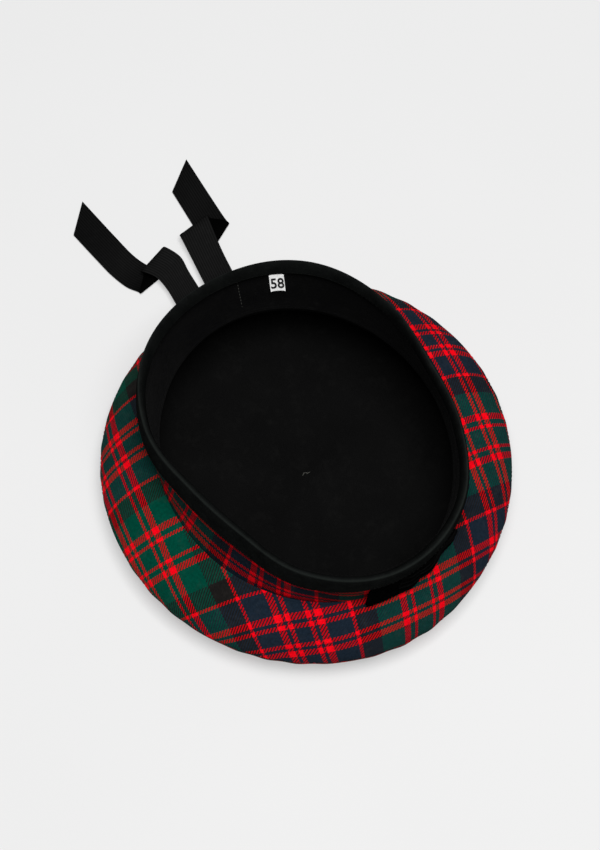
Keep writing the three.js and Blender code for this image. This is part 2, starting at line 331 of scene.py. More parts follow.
def left_normal(path: np.ndarray) -> np.ndarray:
    """Gives unit directions to the left of a path in the plane of radius and height.

    Args:
        path: Points by stations by (radius, height).

    Returns:
        The directions, in the same layout.
    """
    tangent = np.gradient(path, axis=0)
    tangent /= np.maximum(np.linalg.norm(tangent, axis=-1, keepdims=True), TINY)
    return np.stack([-tangent[..., 1], tangent[..., 0]], axis=-1)


def walled(path: np.ndarray, wall: float | np.ndarray, ends: int = 3) -> np.ndarray:
    """Gives a path in the plane of radius and height a wall with rounded ends.

    Args:
        path: Points by stations by (radius, height), listed so that the wall lies on its left.
        wall: Thickness of the wall, the same all along or one number a row.
        ends: How many points round each end.

    Returns:
        The closed outline of the wall, in the same layout.
    """
    walls = np.broadcast_to(np.asarray(wall, float), (len(path),))
    normal = left_normal(path)
    tangent = np.stack([normal[..., 1], -normal[..., 0]], axis=-1)
    inner = path + normal * walls[:, None, None]
    turns = np.linspace(0, math.pi, ends + 2)[1:-1]

    def rounded(end: int, out: float) -> list[np.ndarray]:
        """Gives the points round one end.

        Args:
            end: Row number of the end.
            out: Which way the end points along the path, 1 or -1.

        Returns:
            The points, from the path's side to the inner side.
        """
        half = walls[end] / 2
        middle = path[end] + normal[end] * half
        return [middle + half * (-normal[end] * math.cos(t) + out * tangent[end] * math.sin(t))
                for t in turns]

    far = rounded(-1, 1.0)
    near = rounded(0, -1.0)[::-1]
    return np.concatenate([path, np.array(far), inner[::-1], np.array(near)])


@dataclass
class Sweep:
    """A cloth wall swept round the bonnet's axis."""

    stations: int = 240

    def angles(self) -> np.ndarray:
        """Angles of the stations, in degrees."""
        return np.arange(self.stations) * 360.0 / self.stations

    def ring(self, name: str, outline: np.ndarray, cloth: np.ndarray) -> Piece:
        """Makes a wall that goes all the way round.

        Args:
            name: Name of the piece.
            outline: Closed outline by stations by (radius, height).
            cloth: Cloth coordinates by outline point and station, with one station more.

        Returns:
            The piece.
        """
        mesh = ClothMesh()
        points = around_axis(outline[..., 0], self.angles()[None, :], outline[..., 1])
        at, laid = mesh.grid(points, cloth, wrap=True)
        mesh.bridge((at[-1], laid[-1]), (at[0], laid[0]))
        return mesh.build(name)

    def dish(self, name: str, path: np.ndarray, wall: float, turn: float = 0.0,
             shift: tuple[float, float] = (0.0, 0.0)) -> Piece:
        """Makes a wall that closes over its middle, cut from one round of cloth.

        Args:
            name: Name of the piece.
            path: Its outer face from the middle outwards, by points and stations.
            wall: Thickness of the cloth.
            turn: Degrees that the cloth is turned on the bonnet.
            shift: Where the dish's middle lies on the cloth.

        Returns:
            The piece.
        """
        degrees = self.angles()
        inner = path + left_normal(path) * wall
        outline = np.concatenate([path, inner[::-1]])
        run = run_length(path) + path[:1, :, 0]
        cloth = flat_cloth(np.concatenate([run, run[::-1]]), degrees, turn, shift)
        mesh = ClothMesh()
        points = around_axis(outline[..., 0], degrees[None, :], outline[..., 1])
        at, laid = mesh.grid(points, cloth, wrap=True)
        floor = path[0, 0, 1]
        mesh.pole((at[0], laid[0]), (0.0, 0.0, floor), shift, first=True)
        mesh.pole((at[-1], laid[-1]), (0.0, 0.0, floor + wall), shift, first=False)
        return mesh.build(name)


def dress(piece: Piece, material: Material, slot: Slot | None, *nodes: str) -> Piece:
    """Gives a piece its finish, its body and the solids that it stands for.

    Args:
        piece: The finished piece.
        material: Its material.
        slot: The record's slot that it takes its finish from, if there is one; not used.
        nodes: CAD nodes that it replaces.

    Returns:
        The piece.
    """
    piece.data.materials.clear()
    piece.data.materials.append(material)
    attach(piece, BODY)
    if nodes:
        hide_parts(*nodes)
    LOG.info("%s: %d faces", piece.name, len(piece.data.polygons))
    return piece


# ---- Shader building --------------------------------------------------------------------


NOISE_LOW = 0.3         # where nearly all of a noise value starts and ends
NOISE_HIGH = 0.7


class Wiring:
    """Adds and joins nodes in one tree."""

    def __init__(self, tree: Tree) -> None:
        """Takes the tree to fill."""
        self.tree = tree

    def add(self, kind: str, **settings: object) -> Node:
        """Adds a node.

        Args:
            kind: Type of the node.
            settings: Its properties by name.

        Returns:
            The node.
        """
        node = self.tree.nodes.new(kind)
        for key, value in settings.items():
            setattr(node, key, value)
        return node

    def feed(self, socket: Socket, value: object) -> None:
        """Fills a socket.

        Args:
            socket: The input.
            value: An output to join to it, or a plain value.
        """
        if isinstance(value, bpy.types.NodeSocket):
            self.tree.links.new(value, socket)
        else:
            socket.default_value = value

    def fed(self, kind: str, values: object, **settings: object) -> Node:
        """Adds a node and fills its inputs.

        Args:
            kind: Type of the node.
            values: Inputs by name or number, or a tuple of the first inputs in order.
            settings: Its properties by name.

        Returns:
            The node.
        """
        node = self.add(kind, **settings)
        pairs = values.items() if isinstance(values, dict) else enumerate(values)
        for key, value in pairs:
            self.feed(node.inputs[key], value)
        return node

    def group(self, tree: Tree, **values: object) -> Node:
        """Places a shader group and fills its inputs by name."""
        return self.fed("ShaderNodeGroup", values, node_tree=tree)

    def math(self, operation: str, *values: object) -> Socket:
        """Adds a Math node and gives its result."""
        return self.fed("ShaderNodeMath", values, operation=operation).outputs[0]

    def product(self, first: Socket, *others: object) -> Socket:
        """Multiplies values together.

        Args:
            first: The first value.
            others: The values that it is multiplied by, in turn.

        Returns:
            The product.
        """
        for other in others:
            first = self.math("MULTIPLY", first, other)
        return first

    def weighted(self, first: Socket, weight: float, second: Socket,
                 second_weight: float) -> Socket:
        """Adds two values, each multiplied by its weight."""
        return self.math("ADD", self.product(first, weight), self.product(second, second_weight))

    def scaled(self, colour: object, share: Socket) -> Socket:
        """Makes a colour brighter or darker by a share."""
        values = {0: colour, "Scale": share}
        return self.fed("ShaderNodeVectorMath", values, operation="SCALE").outputs[0]

    def combine(self, *values: object) -> Socket:
        """Makes a vector from its parts, the missing ones 0."""
        return self.fed("ShaderNodeCombineXYZ", values).outputs[0]

    def blend(self, share: object, first: object, second: object) -> Socket:
        """Mixes two colours by a share and gives the result."""
        values = {0: share, 6: first, 7: second}
        return self.fed("ShaderNodeMix", values, data_type="RGBA").outputs[2]

    def ranged(self, value: Socket, low: float, high: float, to_low: float,
               to_high: float) -> Socket:
        """Maps a value from one range to another, held at its ends."""
        return self.fed("ShaderNodeMapRange", (value, low, high, to_low, to_high)).outputs[0]

    def spread(self, value: Socket, to_low: float, to_high: float) -> Socket:
        """Maps the usual range of a noise value to another range."""
        return self.ranged(value, NOISE_LOW, NOISE_HIGH, to_low, to_high)

    def noise(self, vector: Socket, scale: object, detail: float,
              roughness: float = 0.55) -> Socket:
        """Adds a Noise texture and gives its value."""
        values = {"Vector": vector, "Scale": scale, "Detail": detail, "Roughness": roughness}
        return self.fed("ShaderNodeTexNoise", values).outputs[0]

    def place(self) -> Socket:
        """Gives each point's place on the piece, in Object coordinates."""
        return self.add("ShaderNodeTexCoord").outputs["Object"]

    def cloth_axes(self) -> tuple[Socket, Socket]:
        """Gives each point's two cloth coordinates.

        Returns:
            The distance along the first and the second direction of the cloth.
        """
        cloth = self.add("ShaderNodeUVMap", uv_map=CLOTH_MAP)
        split = self.fed("ShaderNodeSeparateXYZ", (cloth.outputs[0],))
        return split.outputs[0], split.outputs[1]

    def thread_counts(self, pitch: float) -> list[Socket]:
        """Counts the threads of a pitch in millimetres in both directions of the cloth."""
        return [self.math("MULTIPLY", axis, 1.0 / (pitch * METRES)) for axis in self.cloth_axes()]

    def ribs(self, distance: Socket, pitch: float) -> Socket:
        """Gives ribs from 0 to 1 along a distance, with their pitch in millimetres."""
        wave = self.math("SINE", self.math("MULTIPLY", distance, TAU / (pitch * METRES)))
        return self.math("ADD", self.math("MULTIPLY", wave, 0.5), 0.5)


def new_group(name: str, inputs: dict[str, tuple[str, object]],
              outputs: dict[str, str]) -> tuple[Tree, Wiring, Node, Node]:
    """Starts a shader group.

    Args:
        name: Name of the group.
        inputs: Socket kind and default value by input name.
        outputs: Socket kind by output name.

    Returns:
        The tree, its wiring, and its input and output nodes.
    """
    tree = bpy.data.node_groups.new(name, "ShaderNodeTree")
    for label, (kind, value) in inputs.items():
        socket = tree.interface.new_socket(name=label, in_out="INPUT", socket_type=kind)
        if value is not None:
            socket.default_value = value
    for label, kind in outputs.items():
        tree.interface.new_socket(name=label, in_out="OUTPUT", socket_type=kind)
    wiring = Wiring(tree)
    return tree, wiring, wiring.add("NodeGroupInput"), wiring.add("NodeGroupOutput")


FLOAT = "NodeSocketFloat"
COLOUR = "NodeSocketColor"
VECTOR = "NodeSocketVector"


class Effects:
    """Shader groups that several finishes share."""

    def __init__(self) -> None:
        """Builds each group once."""
        self.twill = self.make_twill()
        self.fuzz = self.make_fuzz()
        self.wear = self.make_wear()

    def make_twill(self) -> Tree:
        """Makes a two-over, two-under twill from coordinates counted in threads.

        Returns:
            The group, with which thread lies on top and how high it stands.
        """
        tree, w, given, result = new_group(
            "twill_weave",
            {"Warp": (FLOAT, 0.0), "Weft": (FLOAT, 0.0)},
            {"Over": FLOAT, "Relief": FLOAT},
        )
        warp, weft = given.outputs["Warp"], given.outputs["Weft"]
        step = w.math("SUBTRACT", w.math("FLOOR", warp), w.math("FLOOR", weft))
        over = w.math("LESS_THAN", w.math("FLOORED_MODULO", step, 4.0), 1.5)

        def crown(count: Socket) -> Socket:
            """Rounded height across one thread."""
            side = w.math("SUBTRACT", w.math("MULTIPLY", w.math("FRACT", count), 2.0), 1.0)
            return w.math("SUBTRACT", 1.0, w.math("MULTIPLY", side, side))

        values = {0: over, 2: crown(weft), 3: crown(warp)}
        mixed = w.fed("ShaderNodeMix", values, data_type="FLOAT")
        w.feed(result.inputs["Over"], over)
        w.feed(result.inputs["Relief"], mixed.outputs[0])
        return tree

    def make_fuzz(self) -> Tree:
        """Makes fibre mottling.

        Returns:
            The group, with broad and fine patches together, and the height of the nap.
        """
        tree, w, given, result = new_group(
            "fibre_fuzz",
            {"Place": (VECTOR, None), "Fibre": (FLOAT, 2500.0), "Patch": (FLOAT, 60.0)},
            {"Mottle": FLOAT, "Nap": FLOAT},
        )
        place = given.outputs["Place"]
        fine = w.noise(place, given.outputs["Fibre"], 4.0, 0.65)
        broad = w.noise(place, given.outputs["Patch"], 3.0, 0.5)
        w.feed(result.inputs["Mottle"], w.weighted(fine, 0.55, broad, 0.45))
        w.feed(result.inputs["Nap"], fine)
        return tree

    def make_wear(self) -> Tree:
        """Makes rubbed and dusty spots.

        Returns:
            The group, with the mask of the spots.
        """
        tree, w, given, result = new_group(
            "rubbed_dust",
            {"Place": (VECTOR, None), "Size": (FLOAT, 90.0), "Amount": (FLOAT, 0.3)},
            {"Mask": FLOAT},
        )
        spots = w.noise(given.outputs["Place"], given.outputs["Size"], 6.0, 0.7)
        mask = w.ranged(spots, 0.52, 0.78, 0.0, 1.0)
        w.feed(result.inputs["Mask"], w.math("MULTIPLY", mask, given.outputs["Amount"]))
        return tree


EFFECTS = Effects()


def linear(red: int, green: int, blue: int) -> Colour:
    """Turns a screen colour into a linear one.

    Args:
        red: Red, from 0 to 255.
        green: Green.
        blue: Blue.

    Returns:
        The linear colour.
    """
    def channel(value: int) -> float:
        """One channel."""
        share = value / 255
        return share / 12.92 if share <= 0.04045 else ((share + 0.055) / 1.055) ** 2.4
    return channel(red), channel(green), channel(blue), 1.0


def new_material(name: str) -> tuple[Material, Wiring, Node]:
    """Starts a material with one Principled shader.

    Args:
        name: Name of the material.

    Returns:
        The material, its wiring and its Principled node.
    """
    material = bpy.data.materials.new(name)
    material.use_nodes = True
    tree = material.node_tree
    tree.nodes.clear()
    wiring = Wiring(tree)
    shader = wiring.add("ShaderNodeBsdfPrincipled")
    wiring.fed("ShaderNodeOutputMaterial", {"Surface": shader.outputs["BSDF"]})
    return material, wiring, shader


def paint(w: Wiring, shader: Node, colour: object, roughness: object, **constants: object) -> None:
    """Fills a Principled node's own sockets.

    Args:
        w: The material's wiring.
        shader: The Principled node.
        colour: Its base colour.
        roughness: Its roughness.
        constants: Other sockets by name, with _ for a space, and their plain values.
    """
    w.feed(shader.inputs["Base Color"], colour)
    w.feed(shader.inputs["Roughness"], roughness)
    for key, value in constants.items():
        shader.inputs[key.replace("_", " ")].default_value = value


def bump(w: Wiring, shader: Node, height: Socket, depth: float) -> None:
    """Feeds a height, with its depth in metres, to a shader's normal."""
    node = w.fed("ShaderNodeBump", {"Strength": 1.0, "Distance": depth, "Height": height})
    w.feed(shader.inputs["Normal"], node.outputs[0])


# ---- Finishes ---------------------------------------------------------------------------


WHITE: Colour = (1.0, 1.0, 1.0, 1.0)


class Yarn(Enum):
    """Dyed wool yarns of the tartan, as linear colours."""

    RED = linear(255, 6, 26)
    GREEN = linear(0, 70, 55)
    NAVY = linear(27, 38, 50)
    BLACK = linear(30, 28, 27)


@dataclass(frozen=True)
class TartanCloth:
    """Wool twill with a mirrored sett, counted outwards from its green pivot."""

    name: str = "tartan_wool"
    tone: float = 1.0              # brightness of the cut; below 1 it is painted shade
    mixed: float = 0.59            # brightness left where red crosses another colour
    alike: float = 0.15            # distance of two yarns' colours that still counts as one
    unlike: float = 0.9            # distance that counts as fully mixed
    thread: float = 0.47
    show_through: float = 0.03     # share of the covered yarn that still shows
    grain_scale: float = 620.0     # uneven dye, in spots of a millimetre or two
    dusty: Colour = linear(150, 140, 130)
    stripes: tuple[tuple[float, Yarn], ...] = (    # where each stripe starts, its yarn
        (0.0, Yarn.GREEN),
        (4.8, Yarn.RED),
        (6.9, Yarn.GREEN),
        (9.7, Yarn.RED),
        (13.6, Yarn.GREEN),
        (26.8, Yarn.BLACK),
        (37.5, Yarn.RED),
        (39.6, Yarn.NAVY),
        (52.1, Yarn.RED),
        (56.0, Yarn.NAVY),
        (58.0, Yarn.RED),
        (60.1, Yarn.NAVY),
    )

    def sett(self) -> Tree:
        """Makes the group that finds a yarn's colour from its place across the cloth.

        Returns:
            The group.
        """
        tree, w, given, result = new_group(
            "tartan_sett", {"Across": (FLOAT, 0.0)}, {"Yarn": COLOUR})
        mirrored = w.math("PINGPONG", given.outputs["Across"], HALF_REPEAT)
        ramp = w.fed("ShaderNodeValToRGB", (w.math("DIVIDE", mirrored, HALF_REPEAT),))
        ramp.color_ramp.interpolation = "CONSTANT"
        stops = ramp.color_ramp.elements
        while len(stops) < len(self.stripes):
            stops.new(0.5)
        for stop, (start, yarn) in zip(stops, self.stripes):
            stop.position = start / HALF_REPEAT
            stop.color = yarn.value
        w.feed(result.inputs["Yarn"], ramp.outputs[0])
        return tree

    def build(self) -> Material:
        """Makes the material, on the piece's cloth map.

        Returns:
            The material.
        """
        material, w, shader = new_material(self.name)
        sett = bpy.data.node_groups.get("tartan_sett") or self.sett()
        counts = w.thread_counts(self.thread)
        yarns = []
        for count in counts:
            middle = w.math("MULTIPLY", w.math("ADD", w.math("FLOOR", count), 0.5), self.thread)
            yarns.append(w.group(sett, Across=middle).outputs["Yarn"])
        weave = w.group(EFFECTS.twill, Warp=counts[0], Weft=counts[1])
        over = w.ranged(weave.outputs["Over"], 0.0, 1.0, self.show_through, 1 - self.show_through)
        colour = w.blend(over, yarns[1], yarns[0])
        place = w.place()
        fuzz = w.group(EFFECTS.fuzz, Place=place, Fibre=2600.0, Patch=45.0)
        dust = w.group(EFFECTS.wear, Place=place, Size=160.0, Amount=0.035)
        apart = w.fed("ShaderNodeVectorMath", yarns, operation="DISTANCE").outputs["Value"]
        # The tone scales the cloth's whole colour; below 1 it is painted shade.
        shade = w.product(
            w.ranged(weave.outputs["Relief"], 0.0, 1.0, 0.72 * self.tone, 1.08 * self.tone),
            w.spread(fuzz.outputs["Mottle"], 0.84, 1.16),
            w.ranged(apart, self.alike, self.unlike, 1.0, self.mixed),
            w.spread(w.noise(place, self.grain_scale, 1.0), 0.86, 1.14),
        )
        wear_and_painted_light = w.blend(dust.outputs["Mask"], w.scaled(colour, shade), self.dusty)
        paint(w, shader, wear_and_painted_light, w.spread(fuzz.outputs["Nap"], 0.82, 0.97), Specular_IOR_Level=0.02)
        height = w.weighted(weave.outputs["Relief"], 0.7, fuzz.outputs["Nap"], 0.6)
        bump(w, shader, height, depth=0.00018)
        return material


@dataclass(frozen=True)
class BlackFelt:
    """Dense black wool felt with a grey nap and a painted highlight along the top of its fold."""

    highlight_ridge: float = 17.7            # distance along the cloth, from the outer edge to the fold's top
    ridge_width: float = 1.4
    colour: Colour = linear(12, 13, 13)
    nap: Colour = linear(25, 27, 26)
    # colour of the painted highlight along the fold's top
    wear_and_highlight: Colour = linear(39, 43, 41)
    dusty: Colour = linear(36, 38, 37)

    def build(self) -> Material:
        """Makes the material.

        Returns:
            The material.
        """
        material, w, shader = new_material("black_felt")
        place = w.place()
        fuzz = w.group(EFFECTS.fuzz, Place=place, Fibre=3200.0, Patch=110.0)
        dust = w.group(EFFECTS.wear, Place=place, Size=420.0, Amount=0.3)
        napped = w.ranged(fuzz.outputs["Mottle"], 0.38, 0.72, 0.0, 0.8)
        colour = w.blend(napped, self.colour, self.nap)
        # Painted highlight: a pale band along the fold's top, where light catches it, broken up by
        # the mottle.
        away = w.math("ABSOLUTE", w.math("SUBTRACT", w.cloth_axes()[1], self.highlight_ridge * METRES))
        wear_and_painted_light = w.product(w.ranged(away, 0.0, self.ridge_width * METRES, 1.0, 0.0),
                         w.spread(fuzz.outputs["Mottle"], 0.6, 1.0))
        colour = w.blend(dust.outputs["Mask"], w.blend(wear_and_painted_light, colour, self.wear_and_highlight), self.dusty)
        paint(w, shader, colour, w.spread(fuzz.outputs["Nap"], 0.7, 0.95), Specular_IOR_Level=0.0)
        bump(w, shader, fuzz.outputs["Nap"], depth=0.00035)
        return material


@dataclass(frozen=True)
class SmoothSweatband:
    """Black coated band with pores, creases and a low sheen."""

    colour: Colour = linear(6, 6, 7)
    wear_and_highlight: Colour = linear(14, 14, 14)
    dusty: Colour = linear(28, 28, 27)

    def build(self) -> Material:
        """Makes the material.

        Returns:
            The material.
        """
        material, w, shader = new_material("sweatband_black")
        place = w.place()
        pores = w.fed("ShaderNodeTexVoronoi", {"Vector": place, "Scale": 900.0},
                      feature="DISTANCE_TO_EDGE")
        grain = w.ranged(pores.outputs["Distance"], 0.0, 0.12, 0.0, 1.0)
        stretched = w.fed("ShaderNodeVectorMath", (place, (1.0, 1.0, 7.0)), operation="MULTIPLY")
        creases = w.noise(stretched.outputs[0], 38.0, 5.0, 0.6)
        fuzz = w.group(EFFECTS.fuzz, Place=place, Fibre=1500.0, Patch=50.0)
        dust = w.group(EFFECTS.wear, Place=place, Size=260.0, Amount=0.35)
        patchy = w.ranged(fuzz.outputs["Mottle"], 0.35, 0.7, 0.0, 1.0)
        tone = w.blend(patchy, self.colour, self.wear_and_highlight)
        paint(w, shader, w.blend(dust.outputs["Mask"], tone, self.dusty),
              w.spread(creases, 0.42, 0.6),
              Specular_IOR_Level=0.05, Sheen_Weight=0.015, Sheen_Roughness=0.45)
        bump(w, shader, w.weighted(grain, 0.35, creases, 0.9), depth=0.0003)
        return material


@dataclass(frozen=True)
class LiningCloth:
    """Thin black lining, a fine twill with a dull surface."""

    thread: float = 0.3
    colour: Colour = linear(9, 9, 9)
    raised: Colour = linear(22, 22, 22)
    dusty: Colour = linear(32, 32, 31)

    def build(self) -> Material:
        """Makes the material.

        Returns:
            The material.
        """
        material, w, shader = new_material("lining_black")
        warp, weft = w.thread_counts(self.thread)
        relief = w.group(EFFECTS.twill, Warp=warp, Weft=weft).outputs["Relief"]
        place = w.place()
        fuzz = w.group(EFFECTS.fuzz, Place=place, Fibre=1800.0, Patch=24.0)
        dust = w.group(EFFECTS.wear, Place=place, Size=120.0, Amount=0.25)
        share = w.product(relief, w.spread(fuzz.outputs["Mottle"], 0.2, 1.0))
        tone = w.blend(share, self.colour, self.raised)
        paint(w, shader, w.blend(dust.outputs["Mask"], tone, self.dusty),
              w.spread(fuzz.outputs["Nap"], 0.66, 0.85), Specular_IOR_Level=0.0)
        bump(w, shader, relief, depth=0.0001)
        return material


@dataclass(frozen=True)
class Grosgrain:
    """Black ribbon with fine ribs along its length and tight selvedges."""

    name: str = "black_grosgrain"
    rib: float = 1.5
    pick: float = 0.45
    low: Colour = linear(15, 15, 15)
    high: Colour = linear(28, 28, 28)
    # dust colour, and the painted highlight on the cockade's gather ridges
    wear_and_highlight: Colour = linear(36, 36, 36)
    # painted shade in the tails' fold pockets
    pocket_shade: Colour = linear(1, 1, 1)
    gloss: float = 0.01

    def build(self) -> Material:
        """Makes the material, on the ribbon's own map: x across it and y along it.

        Returns:
            The material.
        """
        material, w, shader = new_material(self.name)
        across, along = w.cloth_axes()
        ribs = w.ribs(across, self.rib)
        picks = w.ribs(along, self.pick)
        place = w.place()
        fuzz = w.group(EFFECTS.fuzz, Place=place, Fibre=2200.0, Patch=70.0)
        dust = w.group(EFFECTS.wear, Place=place, Size=300.0, Amount=0.25)
        share = w.product(ribs, w.spread(fuzz.outputs["Mottle"], 0.35, 1.0))
        colour = w.blend(share, self.low, self.high)
        colour = w.blend(dust.outputs["Mask"], colour, self.wear_and_highlight)
        # Painted highlight on the gathers' ridges and painted shade in the tails' fold pockets,
        # from each piece's marks.
        for mark, marked in (("highlight_ridge", self.wear_and_highlight), ("fold_pocket_shade", self.pocket_shade)):
            amount = w.add("ShaderNodeAttribute", attribute_name=mark).outputs["Fac"]
            colour = w.blend(amount, colour, marked)
        paint(w, shader, colour, w.ranged(picks, 0.0, 1.0, 0.6, 0.75),
              Specular_IOR_Level=self.gloss)
        bump(w, shader, w.math("ADD", ribs, w.product(picks, 0.35)), depth=0.00012)
        return material


@dataclass(frozen=True)
class SewingThread:
    """Twisted cotton thread."""

    name: str
    colour: Colour
    gloss: float = 0.5

    def build(self) -> Material:
        """Makes the material.

        Returns:
            The material.
        """
        material, w, shader = new_material(self.name)
        place = w.place()
        strands = w.fed("ShaderNodeTexWave", {"Vector": place, "Scale": 900.0, "Distortion": 2.0},
                        wave_type="BANDS", bands_direction="DIAGONAL").outputs[1]
        fuzz = w.group(EFFECTS.fuzz, Place=place, Fibre=3000.0, Patch=200.0)
        shade = w.product(w.ranged(strands, 0.0, 1.0, 0.7, 1.1),
                          w.spread(fuzz.outputs["Mottle"], 0.8, 1.15))
        paint(w, shader, w.scaled(self.colour[:3], shade),
              w.spread(fuzz.outputs["Nap"], 0.6, 0.85), Specular_IOR_Level=self.gloss)
        bump(w, shader, strands, depth=0.00008)
        return material


@dataclass(frozen=True)
class LabelTape:
    """Woven white tape with a little handling grey, glowing a little as painted light."""

    thread: float = 0.22
    painted_glow: float = 0.3
    low: Colour = linear(232, 232, 230)
    high: Colour = linear(250, 250, 249)
    handled: Colour = linear(205, 204, 200)

    def build(self) -> Material:
        """Makes the material.

        Returns:
            The material.
        """
        material, w, shader = new_material("label_tape")
        warp, weft = w.thread_counts(self.thread)
        relief = w.group(EFFECTS.twill, Warp=warp, Weft=weft).outputs["Relief"]
        dust = w.group(EFFECTS.wear, Place=w.place(), Size=500.0, Amount=0.3)
        tone = w.blend(relief, self.low, self.high)
        # Painted light: the tape glows a little, though it is no lamp.
        paint(w, shader, w.blend(dust.outputs["Mask"], tone, self.handled),
              w.ranged(relief, 0.0, 1.0, 0.85, 0.7),
              Emission_Color=WHITE, Emission_Strength=self.painted_glow)
        bump(w, shader, relief, depth=0.00005)
        return material


@dataclass(frozen=True)
class LabelInk:
    """Black woven figures, slightly uneven."""

    colour: Colour = linear(16, 16, 18)
    wear_and_painted_light: Colour = linear(60, 60, 62)

    def build(self) -> Material:
        """Makes the material.

        Returns:
            The material.
        """
        material, w, shader = new_material("label_ink")
        fuzz = w.group(EFFECTS.fuzz, Place=w.place(), Fibre=4000.0, Patch=900.0)
        uneven = w.ranged(fuzz.outputs["Mottle"], 0.35, 0.7, 0.0, 0.8)
        paint(w, shader, w.blend(uneven, self.colour, self.wear_and_painted_light),
              w.spread(fuzz.outputs["Nap"], 0.6, 0.8))
        bump(w, shader, fuzz.outputs["Nap"], depth=0.00004)
        return material


@dataclass(frozen=True)
class StudioPaper:
    """Plain pale floor."""

    colour: Colour = linear(166, 166, 166)
    paler: Colour = linear(169, 169, 169)
    glow: float = 0.43             # keeps the floor's shadows faint

    def build(self) -> Material:
        """Makes the material.

        Returns:
            The material.
        """
        material, w, shader = new_material("studio_paper")
        patchy = w.spread(w.noise(w.place(), 3.0, 2.0), 0.0, 1.0)
        paint(w, shader, w.blend(patchy, self.colour, self.paler), 0.95,
              Specular_IOR_Level=0.0, Emission_Color=WHITE, Emission_Strength=self.glow)
        return material


# ---- Stitches ---------------------------------------------------------------------------


